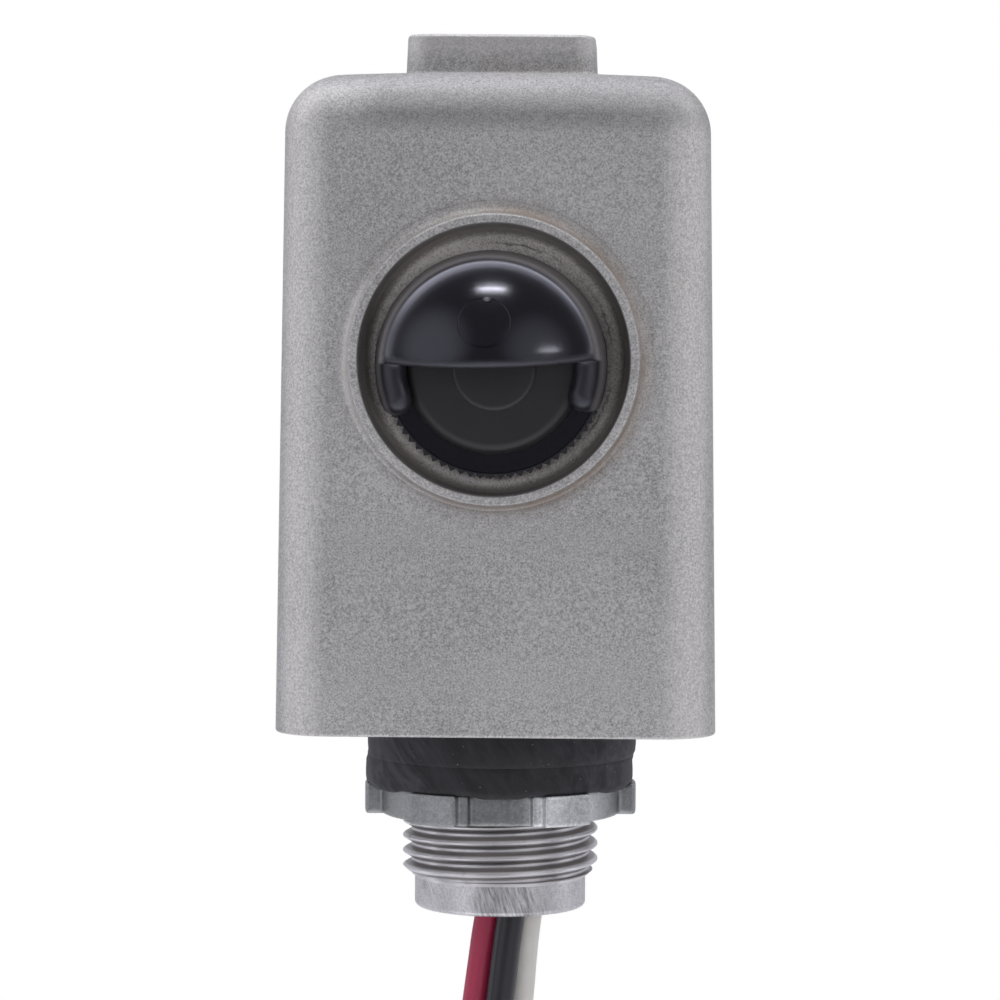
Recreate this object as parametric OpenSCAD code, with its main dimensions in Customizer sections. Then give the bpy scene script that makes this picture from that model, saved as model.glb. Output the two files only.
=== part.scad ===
// Outdoor photocell switch: a cast zinc housing on a threaded conduit stem, with a turning light hood.
// Millimetres. +Z runs up the stem, the eye looks along -Y, and the origin lies on the stem's axis,
// at the top of the bare thread below the lock nut.

/* [Housing] */
// Height of the cast housing
housing_h = 68; // [62:0.5:80]
// Width of the housing at its open bottom
housing_w = 45.6; // [44:0.2:56]
// Depth of the housing at its open bottom
housing_d = 39; // [38:0.5:50]
// Radius of the housing's rounded edges
housing_edge_r = 6; // [4.5:0.5:7]
// Draft of the housing's sides in degrees
housing_draft = 0.7; // [0:0.05:1.2]
// Thickness of the housing's walls
housing_wall = 2.2; // [1.8:0.1:2.6]
// Thickness of the lip that surrounds the base plate
skirt_lip = 1.2; // [0.8:0.1:1.4]

/* [Top boss] */
// Width of the wrench boss on top of the housing
boss_w = 20.6; // [14:0.2:28]
// Depth of the wrench boss
boss_d = 13; // [8:0.5:20]
// Height of the wrench boss
boss_h = 4.5; // [3:0.5:10]
// Corner radius of the wrench boss
boss_corner_r = 2.4; // [1:0.2:3.5]
// Distance of the wrench boss behind the stem's axis
boss_back = 0; // [0:0.5:6]
// Draft of the wrench boss in degrees
boss_draft = 5; // [0:0.5:6]

/* [Eye recess] */
// Height of the eye's axis above the housing's bottom edge
eye_height = 38.5; // [36:0.5:44]
// Radius of the recess at its mouth
recess_r = 13.9; // [13:0.1:15]
// Depth of the recess from the rim's face to its floor
recess_depth = 5; // [4:0.1:6]
// Draft of the recess wall in degrees
recess_draft = 7; // [0:0.5:9]
// Thickness of the recess floor
recess_floor_t = 2; // [1.5:0.1:3]
// Height of the raised rim above the front face
rim_h = 1.3; // [0.6:0.1:2]
// Width of the flat on the raised rim
rim_flat = 0.9; // [0.5:0.1:2]
// Width of the sloped flank outside the rim
rim_flank = 0.8; // [0.3:0.1:2]

/* [Light hood] */
// Radius over the tips of the thumb teeth
tooth_tip_r = 12.25; // [12.15:0.05:12.5]
// Number of thumb teeth around the flange
tooth_count = 72; // [48:6:96]
// Depth of the thumb teeth
tooth_depth = 0.5; // [0.3:0.05:0.55]
// Thickness of the flange
flange_t = 1.6; // [1.2:0.1:2.4]
// Outer radius of the visor and its arms
visor_r = 11.65; // [11.3:0.05:11.7]
// Reach of the visor in front of the flange
visor_reach = 9; // [7.5:0.1:12]
// Radius of the visor's shoulder
shoulder_r = 4; // [3.5:0.1:4.5]
// Radius of the visor's domed face
dome_r = 15; // [14:0.5:18]
// Wall of the visor's domed face
visor_wall = 1.6; // [1.2:0.1:2]
// Width of the two arms below the visor
arm_w = 2.25; // [1.6:0.05:2.4]
// Height of the arms above the flange
arm_h = 3.2; // [2:0.1:5]
// Angle that the arms reach below the visor
arm_angle = 28; // [10:1:45]
// Height of the visor's lip above the eye's axis, at the flange
lip_offset = 0.5; // [-1:0.1:2]
// Fall of the lip towards the front in degrees
lip_tilt = 6; // [0:0.5:12]
// Radius of the hub that turns in the recess floor
hub_r = 7.5; // [7:0.1:8]
// Wall of the hub
hub_wall = 1.5; // [1.3:0.1:2]
// Radius of the lens
lens_r = 9.3; // [8.4:0.05:9.3]
// Thickness of the lens
lens_t = 2.4; // [1.6:0.1:3]
// Thickness of the drag washer behind the recess floor
washer_t = 0.5; // [0.3:0.1:0.8]
// Thickness of the spring clip on the hub
clip_t = 0.8; // [0.5:0.1:1.2]

/* [Stem and base] */
// Outside radius of the stem's thread
thread_r = 10.5; // [10:0.05:11]
// Length of bare thread below the lock nut
thread_free = 6.3; // [4:0.1:14]
// Radius of the plain nose below the thread
nose_r = 9.2; // [8.2:0.05:9.4]
// Length of the plain nose
nose_len = 3.5; // [1.5:0.1:6]
// Radius of the wire passage through the stem
bore_r = 7.4; // [7.4:0.1:7.8]
// Thickness of the base plate
plate_t = 3; // [2.5:0.1:4]
// Thickness of the seal between base plate and housing
base_gasket_t = 0.8; // [0.5:0.1:1.2]
// Radius of the base screws
base_screw_r = 1.6; // [1.4:0.05:1.8]
// Length of the base screws
base_screw_len = 13; // [11:0.5:16]

/* [Gasket and nut] */
// Radius of the rubber stem gasket
gasket_r = 14.4; // [13:0.1:16]
// Thickness of the rubber stem gasket
gasket_t = 6.7; // [4:0.1:9]
// Radius over the lock nut's lugs
nut_r = 14.6; // [14:0.1:16]
// Thickness of the lock nut
nut_t = 3; // [2:0.1:5]
// Number of lugs on the lock nut
nut_lugs = 6; // [4:1:8]
// Angle that each lug covers
nut_lug_angle = 26; // [16:1:32]
// Depth of the notches between the lugs
nut_notch = 1.7; // [0.8:0.1:2.4]

/* [Switch inside] */
// Width of the insulating switch board
board_w = 32; // [30:0.5:34]
// Height of the insulating switch board
board_h = 47; // [45:0.5:50]
// Thickness of the insulating switch board
board_t = 1.6; // [1.2:0.1:2]
// Thickness of the bimetal blade
blade_t = 0.5; // [0.3:0.05:0.7]
// Length of the bimetal blade
blade_len = 29; // [28:0.5:30]
// Width of the bimetal blade
blade_w = 6; // [5:0.1:7]
// Opening angle of the blade when it is hot
blade_open = 2.5; // [1:0.1:3]
// Radius of the light cell
cell_r = 5.5; // [4.5:0.1:6]
// Thickness of the light cell
cell_t = 2.2; // [1.5:0.1:3]
// Radius of the heater's body
heater_r = 1.6; // [1.2:0.05:1.65]
// Length of the heater's body
heater_len = 11; // [8:0.5:12]

/* [Hidden] */
$fn = 96;
// Clearances
slack = 0.05;
face_gap = 0.1;
turn_gap = 0.06;
liner_gap = 0.3;
// Small edges
edge = 0.5;
thread_chamfer = 0.8;
thread_root_depth = 1;
root_gap = 0.6;
// Reach of a cut past the face that it opens
over = 1;
far = 60;

// Heights along the stem
nut_z = root_gap;
gasket_z = nut_z + nut_t;
seat_z = gasket_z + gasket_t;
plate_top = seat_z + plate_t;
ledge_z = plate_top + base_gasket_t;
top_z = seat_z + housing_h;
eye_z = seat_z + eye_height;
thread_end = -thread_free;
nose_end = thread_end - nose_len;

// The housing's half sizes shrink with height by its draft
function half_w(z) = housing_w / 2 - (z - seat_z) * tan(housing_draft);
function half_d(z) = housing_d / 2 - (z - seat_z) * tan(housing_draft);

// Depths in the eye's own frame, whose z points out of the front face
face_y = -half_d(eye_z);
floor_z = rim_h - recess_depth;
floor_back = floor_z - recess_floor_t;
recess_floor_r = recess_r - recess_depth * tan(recess_draft);
flange_back = floor_z + face_gap;
flange_front = flange_back + flange_t;
seat_depth = flange_t / 2;
visor_top = flange_front + visor_reach;
arm_mid_r = visor_r - arm_w / 2;
hub_lip = 0.6;
washer_back = floor_back - face_gap - washer_t;
clip_front = washer_back - face_gap;
clip_back = clip_front - clip_t;
hub_end = clip_back - hub_lip;
groove_depth = 0.7;
clip_lap = 1.9;
washer_lap = 2.6;
clip_r = hub_r + clip_lap;
washer_r = hub_r + washer_lap;
pocket_r = recess_floor_r + recess_floor_t;

// Base screws stand in two opposite corners
screw_inset = 5.6;
boss_overlap = 0.4;
screw_boss_r = screw_inset - housing_wall + boss_overlap;
screw_boss_h = 14;
screw_head_r = base_screw_r * 1.8;
screw_spots = [for (s = [-1, 1]) [s * (housing_w / 2 - screw_inset), s * (housing_d / 2 - screw_inset)]];
plate_w = housing_w - 2 * skirt_lip - 2 * face_gap;
plate_d = housing_d - 2 * skirt_lip - 2 * face_gap;
plate_corner_r = housing_edge_r - skirt_lip - face_gap;
base_gasket_w = 3.2;

// Switch board, standing on two posts of the base plate
board_rise = 1.5;
board_z = plate_top + board_rise;
board_back = board_t;
post_w = 5;
post_d = 4;
post_h = 9;
post_inset = 1.5;
post_x = board_w / 2 - post_w / 2 - post_inset;
board_screw_r = 1.25;
board_screw_drop = 2.6;
board_screw_z = plate_top + post_h - board_screw_drop;

// Terminals: sheet tabs with a crimped barrel for each lead
tab_t = 0.6;
tab_w = 4;
tab_h = 12;
barrel_wall = 0.5;
barrel_len = 5.6;
barrel_z = 18;
rivet_r = 1.2;
rivet_head_r = 2;
rivet_head_t = 0.8;
rivet_rise = 8;
rivet_z = barrel_z + barrel_len + rivet_rise;
load_x = -5.2;
line_x = 0.5;
neutral_x = 5.6;
terminal_y = -2.4;

// Bimetal blade, hanging from its bracket behind the board
contact_gap = 0.15;
contact_r = 1.6;
contact_t = 1;
contact_stand = 3.2;
contact_y = board_back + contact_stand;
blade_y = contact_y + contact_gap + contact_t;
blade_tail = 3;
clamp_grip = 5;
clamp_rivet_drop = 2.4;
blade_bottom = rivet_z - blade_tail;
blade_top = blade_bottom + blade_len;
pivot_z = blade_top - clamp_grip;
clamp_z = blade_top - clamp_rivet_drop;
clamp_h = 7;
clamp_t = 0.8;
clamp_rivet_r = 1;
bracket_t = 0.8;
bracket_rise = 1.6;
bracket_top = blade_top + bracket_rise;
bracket_leg = 4.4;
flex_gap = face_gap + (blade_top - pivot_z) * sin(blade_open);
lip_y = blade_y + blade_t + flex_gap;
clamp_y = blade_y - flex_gap - clamp_t;

// Heater between the blade and the board
heater_y = board_back + face_gap + heater_r;
heater_rise = 4.5;
heater_z = rivet_z + heater_rise;
wire_r = 0.35;
heater_lead = 1.3;

// Light cell behind the lens
hub_end_y = face_y - hub_end;
cell_gap = 0.8;
cell_y = hub_end_y + cell_gap;
cell_lead_clear = 1.2;
cell_lead_x = line_x + bracket_leg / 2 + cell_lead_clear;
cell_lead_z = 1.8;
cell_lead_spots = [for (s = [-1, 1]) [cell_lead_x, eye_z + s * cell_lead_z]];
holder_wall = 1;
holder_lip = 1;

// Insulating liner around the back and sides
liner_t = 0.5;
liner_top = plate_top + board_h;
liner_w = half_w(liner_top) - housing_wall - liner_gap;
liner_d = half_d(liner_top) - housing_wall - liner_gap;
liner_cut = liner_w + liner_d - screw_spots[1][0] - screw_spots[1][1]
    + sqrt(2) * (screw_boss_r + liner_gap);
liner_front = 8;

// Leads: routes of the three wires, from their terminals down through the stem
lead_r = 1.5;
lead_sides = 8;
conductor_r = 0.65;
strip_len = 10;
red_route = [
    [-5.2, -2.4, 20], [-5.2, -2.4, 16.5], [-4.8, -2.1, 12.5], [-4, -1.4, 8], [-3, -0.5, 3],
    [-2.1, 0.2, -3], [-1.6, 0.5, -9], [-2.2, 0.6, -14], [-3, 0.7, -20], [-3.9, 0.9, -27],
    [-4.6, 1, -35], [-5.1, 1.1, -43], [-5.5, 1.1, -52], [-5.7, 1, -61], [-5.8, 0.9, -70],
    [-5.8, 0.8, -79], [-5.7, 0.7, -88], [-5.5, 0.6, -97], [-5.3, 0.6, -106], [-5.1, 0.6, -115],
    [-4.9, 0.7, -124], [-4.8, 0.8, -132], [-4.8, 0.8, -140], [-4.8, 0.8, -149]];
black_route = [
    [0.5, -2.4, 20], [0.5, -2.4, 16.5], [0.6, -2.3, 12.5], [0.7, -2.1, 8], [0.8, -1.8, 3],
    [0.9, -1.5, -3], [0.9, -1.4, -9], [0.3, -1.5, -14], [-0.4, -1.6, -20], [-1.1, -1.8, -27],
    [-1.6, -2, -35], [-1.9, -2.2, -43], [-2.1, -2.4, -52], [-2.2, -2.5, -61], [-2.2, -2.6, -70],
    [-2.1, -2.7, -79], [-2, -2.8, -88], [-1.8, -2.8, -97], [-1.6, -2.8, -106], [-1.5, -2.7, -115],
    [-1.4, -2.6, -124], [-1.4, -2.5, -132], [-1.4, -2.5, -140], [-1.4, -2.5, -149]];
white_route = [
    [5.6, -2.4, 20], [5.6, -2.4, 16.5], [5.2, -2, 12.5], [4.5, -1.1, 8], [3.7, 0, 3],
    [3, 0.8, -3], [2.7, 1.1, -9], [2.1, 1.2, -14], [1.4, 1.3, -20], [0.7, 1.6, -27],
    [0.3, 1.9, -35], [0.1, 2.2, -43], [0, 2.5, -52], [0.1, 2.7, -61], [0.3, 2.8, -70],
    [0.5, 2.8, -79], [0.7, 2.7, -88], [0.9, 2.6, -97], [1.1, 2.5, -106], [1.3, 2.4, -115],
    [1.4, 2.3, -124], [1.5, 2.2, -132], [1.5, 2.2, -140], [1.5, 2.2, -149]];

// Shared shapes

// A rectangle with rounded corners, centred
module rounded_rect(w, d, r) {
    square([w - 2 * r, d], center = true);
    square([w, d - 2 * r], center = true);
    for (x = [-1, 1], y = [-1, 1])
        translate([x * (w / 2 - r), y * (d / 2 - r)]) circle(r);
}

// Puts children in the eye's frame: z out of the front face, y up
module at_eye() {
    translate([0, face_y, eye_z]) rotate([90, 0, 0]) children();
}

// Turns a cylinder's axis along +Y, starting at y
module along_y(x, y, z) {
    translate([x, y, z]) rotate([-90, 0, 0]) children();
}

// A flat ring
module ring(r_out, r_in, h) {
    difference() {
        cylinder(r = r_out, h = h);
        translate([0, 0, -over]) cylinder(r = r_in, h = h + 2 * over);
    }
}

// Points along an arc
function arc(cx, cy, r, from, to, steps) =
    [for (i = [0:steps]) let (a = from + (to - from) * i / steps) [cx + r * cos(a), cy + r * sin(a)]];

// Half profile of the visor: side wall, round shoulder and shallow dome
function visor_profile(r, bottom, top, shoulder, dome) =
    let (dome_c = top - dome,
         shoulder_z = dome_c + sqrt(pow(dome - shoulder, 2) - pow(r - shoulder, 2)),
         meet = atan2(shoulder_z - dome_c, r - shoulder))
    concat([[0, bottom], [r, bottom]],
        arc(r - shoulder, shoulder_z, shoulder, 0, meet, 6),
        [for (p = arc(0, dome_c, dome, meet, 90, 6)) if (p[0] < r - shoulder && p[0] > slack) p],
        [[0, top]]);

// Rings of a wire that follows its route's own points
function unit(v) = v / norm(v);
function heading(p, i) = unit(p[min(i + 1, len(p) - 1)] - p[max(i - 1, 0)]);
function wire_ring(c, dir, r) =
    let (u = unit(cross(dir, [0, 1, 0])), v = cross(u, dir))
    [for (k = [0:lead_sides - 1]) let (a = 360 * k / lead_sides) c + r * (cos(a) * u + sin(a) * v)];

module wire(route, r) {
    rings = len(route);
    points = [for (i = [0:rings - 1]) each wire_ring(route[i], heading(route, i), r)];
    sides = [for (i = [0:rings - 2], k = [0:lead_sides - 1]) let (n = (k + 1) % lead_sides, b = i * lead_sides)
        [b + k, b + n, b + lead_sides + n, b + lead_sides + k]];
    start = [for (k = [lead_sides - 1:-1:0]) k];
    end = [for (k = [0:lead_sides - 1]) (rings - 1) * lead_sides + k];
    polyhedron(points, concat([start, end], sides), convexity = 4);
}

// Housing and base

// The drafted block with round edges, as one hull over its bottom corners and top balls
module housing_block(inset, bottom, r, top) {
    hull($fn = 32) {
        for (x = [-1, 1], y = [-1, 1]) {
            translate([x * (half_w(bottom) - inset - r), y * (half_d(bottom) - inset - r), bottom])
                cylinder(r = r, h = slack, $fn = 32);
            translate([x * (half_w(top) - inset - r), y * (half_d(top) - inset - r), top - r])
                sphere(r, $fn = 32);
        }
    }
}

// Rim and pocket of the recess, before it is hollowed
module recess_wall() {
    rim_r = recess_r + rim_flat;
    root_z = -housing_wall / 2;
    rotate_extrude() polygon([[0, floor_back], [pocket_r, floor_back], [pocket_r, root_z],
        [rim_r + rim_flank, root_z], [rim_r + rim_flank, 0], [rim_r, rim_h - rim_h / 6],
        [rim_r - rim_h / 6, rim_h], [0, rim_h]]);
}

// The hollow of the recess and the bearing hole for the hood's hub
module recess_hollow() {
    translate([0, 0, floor_z]) cylinder(r1 = recess_floor_r, r2 = recess_r, h = recess_depth);
    translate([0, 0, rim_h]) cylinder(r = recess_r, h = over);
    translate([0, 0, floor_back - over]) cylinder(r = hub_r + turn_gap, h = recess_floor_t + 2 * over);
}

module wrench_boss() {
    base_z = top_z - housing_wall;
    taper = boss_h * tan(boss_draft);
    translate([0, boss_back, 0]) hull()
        for (level = [[base_z, 0], [top_z + boss_h - slack, taper]], x = [-1, 1], y = [-1, 1])
            translate([x * (boss_w / 2 - boss_corner_r - level[1]), y * (boss_d / 2 - boss_corner_r - level[1]),
                level[0]]) cylinder(r = boss_corner_r, h = slack, $fn = 32);
}

module housing() {
    color("darkgray") difference() {
        union() {
            difference() {
                union() {
                    housing_block(0, seat_z, housing_edge_r, top_z);
                    wrench_boss();
                }
                housing_block(housing_wall, ledge_z - slack, housing_edge_r - housing_wall, top_z - housing_wall);
            }
            intersection() {
                for (p = screw_spots)
                    translate([p[0], p[1], ledge_z]) cylinder(r = screw_boss_r, h = screw_boss_h);
                housing_block(slack, seat_z, housing_edge_r - slack, top_z);
            }
            at_eye() recess_wall();
        }
        translate([0, 0, seat_z - over]) linear_extrude(plate_t + base_gasket_t + over)
            rounded_rect(housing_w - 2 * skirt_lip, housing_d - 2 * skirt_lip, housing_edge_r - skirt_lip);
        for (p = screw_spots)
            translate([p[0], p[1], ledge_z - over]) cylinder(r = base_screw_r + slack, h = screw_boss_h);
        at_eye() recess_hollow();
    }
}

// Base plate and threaded stem are one casting, turned below the plate
module stem_base() {
    color("silver") difference() {
        union() {
            rotate_extrude() polygon([[0, nose_end], [nose_r - edge, nose_end], [nose_r, nose_end + edge],
                [nose_r, thread_end], [thread_r - thread_chamfer, thread_end],
                [thread_r, thread_end + thread_chamfer], [thread_r, 0], [thread_r - thread_root_depth, 0],
                [thread_r - thread_root_depth, root_gap], [thread_r, root_gap], [thread_r, plate_top - edge],
                [0, plate_top - edge]]);
            translate([0, 0, seat_z]) linear_extrude(plate_t) rounded_rect(plate_w, plate_d, plate_corner_r);
            for (x = [-1, 1])
                translate([x * post_x - post_w / 2, board_back, plate_top - edge]) cube([post_w, post_d, post_h + edge]);
        }
        translate([0, 0, nose_end - over]) cylinder(r = bore_r, h = plate_top - nose_end + 2 * over);
        translate([0, 0, nose_end - slack]) cylinder(r1 = bore_r + edge, r2 = bore_r, h = edge);
        for (p = screw_spots) translate([p[0], p[1], seat_z]) {
            translate([0, 0, -over]) cylinder(r = base_screw_r + face_gap, h = plate_t + 2 * over);
            translate([0, 0, -slack])
                cylinder(r1 = screw_head_r + face_gap + slack, r2 = base_screw_r + face_gap,
                    h = screw_head_r - base_screw_r + slack);
        }
        for (x = [-1, 1])
            along_y(x * post_x, board_back - over, board_screw_z)
                cylinder(r = board_screw_r + slack, h = post_d - edge + over);
    }
}

module base_gasket() {
    color("dimgray") translate([0, 0, plate_top]) linear_extrude(base_gasket_t) difference() {
        union() {
            difference() {
                rounded_rect(plate_w, plate_d, plate_corner_r);
                rounded_rect(plate_w - 2 * base_gasket_w, plate_d - 2 * base_gasket_w, plate_corner_r / 2);
            }
            for (p = screw_spots) translate(p) circle(screw_boss_r);
        }
        for (p = screw_spots) translate(p) circle(base_screw_r + face_gap);
    }
}

module base_screws() {
    head_h = screw_head_r - base_screw_r;
    color("silver") for (p = screw_spots) translate([p[0], p[1], seat_z]) difference() {
        union() {
            cylinder(r1 = screw_head_r, r2 = base_screw_r, h = head_h);
            translate([0, 0, head_h]) cylinder(r = base_screw_r, h = base_screw_len - head_h);
        }
        translate([-screw_head_r, -base_screw_r / 5, -over])
            cube([2 * screw_head_r, base_screw_r / 2.5, over + head_h / 2]);
    }
}

// Moulded rubber ring with a parting line a third of the way down
module stem_gasket() {
    line_z = gasket_t * 0.64;
    swell = 0.2;
    color("#2c2c2e") translate([0, 0, gasket_z]) rotate_extrude() polygon([[thread_r + face_gap, 0],
        [gasket_r - edge, 0], [gasket_r, edge], [gasket_r - swell, line_z - swell],
        [gasket_r - 2 * swell, line_z], [gasket_r - swell, line_z + swell], [gasket_r, line_z + 3 * swell],
        [gasket_r, gasket_t], [thread_r + face_gap, gasket_t]]);
}

// Cast lock nut: a ring with lugs that stand out between notches
module lock_nut() {
    first_lug = -57.5;
    lug_flare = 4;
    notch_r = nut_r - nut_notch;
    flare = nut_lug_angle / 2 + lug_flare;
    color("lightsteelblue") translate([0, 0, nut_z]) linear_extrude(nut_t) difference() {
        intersection() {
            circle(nut_r);
            union() {
                circle(notch_r);
                for (i = [0:nut_lugs - 1]) rotate(first_lug + i * 360 / nut_lugs)
                    polygon([[0, 0], [notch_r * cos(flare), -notch_r * sin(flare)],
                        [far, -far * tan(nut_lug_angle / 2)], [far, far * tan(nut_lug_angle / 2)],
                        [notch_r * cos(flare), notch_r * sin(flare)]]);
            }
        }
        circle(thread_r + face_gap);
    }
}

// Light hood, lens and their retainers

// Everything below the visor's lip
module lip_cut() {
    translate([0, lip_offset, flange_front]) rotate([lip_tilt, 0, 0])
        translate([-far, -2 * far, -far]) cube(2 * far);
}

module visor() {
    inner_r = visor_r - arm_w;
    difference() {
        rotate_extrude()
            polygon(visor_profile(visor_r, flange_front - edge, visor_top, shoulder_r, dome_r));
        rotate_extrude() polygon(visor_profile(inner_r, flange_front - over, visor_top - visor_wall,
            shoulder_r - visor_wall / 2, dome_r - visor_wall));
        lip_cut();
    }
}

// One arm: a round-topped wall that follows the visor's edge down to a round tip
module arm() {
    crown = arm_w / 2 - face_gap;
    root_angle = 8;
    top = flange_front + arm_h - crown;
    half = concat([[0, flange_front - edge], [crown, flange_front - edge]], arc(0, top, crown, 0, 90, 5));
    rotate([0, 0, -arm_angle]) {
        rotate_extrude(angle = arm_angle + root_angle) translate([arm_mid_r, 0]) {
            polygon(half);
            mirror([1, 0]) polygon(half);
        }
        translate([arm_mid_r, 0, 0]) rotate_extrude() polygon(half);
    }
}

module thumb_teeth() {
    root_r = tooth_tip_r - tooth_depth;
    translate([0, 0, flange_back]) linear_extrude(flange_t)
        polygon([for (i = [0:2 * tooth_count - 1]) let (r = i % 2 == 0 ? tooth_tip_r : root_r, a = 180 * i / tooth_count)
            [r * cos(a), r * sin(a)]]);
}

module hood() {
    color("#26252b") at_eye() difference() {
        union() {
            thumb_teeth();
            visor();
            arm();
            mirror([1, 0, 0]) arm();
            translate([0, 0, hub_end]) cylinder(r = hub_r, h = flange_back - hub_end + edge);
        }
        translate([0, 0, flange_front - seat_depth]) cylinder(r = lens_r + slack, h = lens_t);
        translate([0, 0, hub_end - over]) cylinder(r = hub_r - hub_wall, h = flange_front - hub_end + over);
        translate([0, 0, clip_back - slack]) ring(hub_r + over, hub_r - groove_depth, clip_t + 2 * slack);
    }
}

module lens() {
    back = flange_front - seat_depth;
    round_r = lens_t / 3;
    color("#3c3a3e") at_eye() rotate_extrude() polygon(concat([[0, back], [lens_r, back]],
        arc(lens_r - round_r, back + lens_t - round_r, round_r, 0, 90, 6), [[0, back + lens_t]]));
}

module hood_washer() {
    color("goldenrod") at_eye() translate([0, 0, washer_back]) ring(washer_r, hub_r + liner_gap, washer_t);
}

module hood_clip() {
    inner_r = hub_r - groove_depth + slack;
    color("slategray") at_eye() rotate([0, 0, 110]) rotate_extrude(angle = 320)
        translate([inner_r, clip_back]) square([clip_r - inner_r, clip_t]);
}

// Switch inside the housing

module insulating_liner() {
    outline = [[liner_w, -liner_front], [liner_w, liner_d - liner_cut], [liner_w - liner_cut, liner_d],
        [-liner_w + liner_cut, liner_d], [-liner_w, liner_d - liner_cut], [-liner_w, -liner_front]];
    corner = liner_t * (sqrt(2) - 1);
    inside = [[liner_w - liner_t, -liner_front], [liner_w - liner_t, liner_d - liner_cut - corner],
        [liner_w - liner_cut - corner, liner_d - liner_t], [-liner_w + liner_cut + corner, liner_d - liner_t],
        [-liner_w + liner_t, liner_d - liner_cut - corner], [-liner_w + liner_t, -liner_front]];
    color("tan") translate([0, 0, ledge_z]) linear_extrude(liner_top - ledge_z)
        polygon(concat(outline, [for (i = [len(inside) - 1:-1:0]) inside[i]]));
}

module switch_board() {
    color("saddlebrown") difference() {
        translate([-board_w / 2, 0, board_z]) cube([board_w, board_t, board_h]);
        for (x = [-post_x, post_x])
            along_y(x, -over, board_screw_z) cylinder(r = board_screw_r + slack, h = board_t + 2 * over);
        for (x = [load_x, line_x, neutral_x])
            along_y(x, -over, rivet_z) cylinder(r = rivet_r + slack, h = board_t + 2 * over);
        for (p = cell_lead_spots)
            along_y(p[0], -over, p[1]) cylinder(r = wire_r + face_gap, h = board_t + 2 * over);
        for (z = [heater_z - heater_lead, heater_z + heater_len + heater_lead])
            along_y(load_x, -over, z) cylinder(r = wire_r + face_gap, h = board_t + 2 * over);
    }
}

module board_screws() {
    head_t = 1.2;
    color("silver") for (x = [-post_x, post_x]) {
        along_y(x, -head_t, board_screw_z) difference() {
            cylinder(r = 2 * board_screw_r, h = head_t);
            translate([-3 * board_screw_r, -board_screw_r / 5, -over])
                cube([6 * board_screw_r, board_screw_r / 2.5, over + head_t / 2]);
        }
        along_y(x, 0, board_screw_z) cylinder(r = board_screw_r, h = board_t + post_d - 2 * edge);
    }
}

// A tab on the board's face, riveted near its top, with a barrel crimped on the lead
module terminal(x) {
    inner_r = lead_r + slack;
    color("goldenrod") difference() {
        union() {
            translate([x - tab_w / 2, -tab_t, barrel_z + barrel_len - 1]) cube([tab_w, tab_t, tab_h]);
            translate([x, terminal_y, barrel_z]) cylinder(r = inner_r + barrel_wall, h = barrel_len);
        }
        translate([x, terminal_y, barrel_z - over]) cylinder(r = inner_r, h = barrel_len + 2 * over);
        along_y(x, -tab_t - over, rivet_z) cylinder(r = rivet_r + slack, h = tab_t + 2 * over);
    }
}

module line_terminal() { terminal(line_x); }
module load_terminal() { terminal(load_x); }
module neutral_terminal() { terminal(neutral_x); }

// A rivet through tab and board; the line rivet also holds the bracket's foot behind
module rivet(x, back) {
    color("darkgoldenrod") {
        along_y(x, -tab_t - rivet_head_t, rivet_z) cylinder(r = rivet_head_r, h = rivet_head_t);
        along_y(x, -tab_t - rivet_head_t, rivet_z) cylinder(r = rivet_r, h = back + tab_t + 2 * rivet_head_t);
        along_y(x, back, rivet_z) cylinder(r = rivet_head_r, h = rivet_head_t);
    }
}

module terminal_rivets() {
    rivet(line_x, board_back + bracket_t);
    rivet(neutral_x, board_back);
}

// Folded bracket: a foot on the line rivet, a cross strip, and an arm that holds the blade's top
module blade_bracket() {
    left = load_x - blade_w / 2;
    foot_z = rivet_z - bracket_leg / 2;
    color("darkgoldenrod") difference() {
        union() {
            translate([line_x - bracket_leg / 2, board_back, foot_z])
                cube([bracket_leg, bracket_t, bracket_top - foot_z]);
            translate([left, board_back, bracket_top - clamp_h])
                cube([line_x + bracket_leg / 2 - left, bracket_t, clamp_h]);
            translate([left, board_back, bracket_top - bracket_t])
                cube([blade_w, lip_y + bracket_t - board_back, bracket_t]);
            translate([left, lip_y, bracket_top - clamp_h]) cube([blade_w, bracket_t, clamp_h]);
        }
        along_y(line_x, board_back - over, rivet_z) cylinder(r = rivet_r + slack, h = bracket_t + 2 * over);
        along_y(load_x, lip_y - over, clamp_z) cylinder(r = clamp_rivet_r + slack, h = bracket_t + 2 * over);
    }
}

module blade_clamp() {
    color("lightgray") difference() {
        translate([load_x - blade_w / 2, clamp_y, bracket_top - clamp_h])
            cube([blade_w, clamp_t, clamp_h - bracket_t - face_gap]);
        along_y(load_x, clamp_y - over, clamp_z) cylinder(r = clamp_rivet_r + slack, h = clamp_t + 2 * over);
    }
}

module clamp_rivet() {
    reach = lip_y + bracket_t - clamp_y;
    color("silver") {
        along_y(load_x, clamp_y - edge, clamp_z) cylinder(r = 1.7 * clamp_rivet_r, h = edge);
        along_y(load_x, clamp_y - edge, clamp_z) cylinder(r = clamp_rivet_r, h = reach + 2 * edge);
        along_y(load_x, clamp_y + reach, clamp_z) cylinder(r = 1.7 * clamp_rivet_r, h = edge);
    }
}

// The fixed contact is a stud that also rivets the load terminal
module fixed_contact() {
    color("silver") {
        along_y(load_x, -tab_t - rivet_head_t, rivet_z) cylinder(r = rivet_head_r, h = rivet_head_t);
        along_y(load_x, -tab_t - rivet_head_t, rivet_z)
            cylinder(r = rivet_r, h = rivet_head_t + tab_t + board_t + contact_stand);
        along_y(load_x, board_back, rivet_z) cylinder(r = contact_r, h = contact_stand);
    }
}

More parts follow.
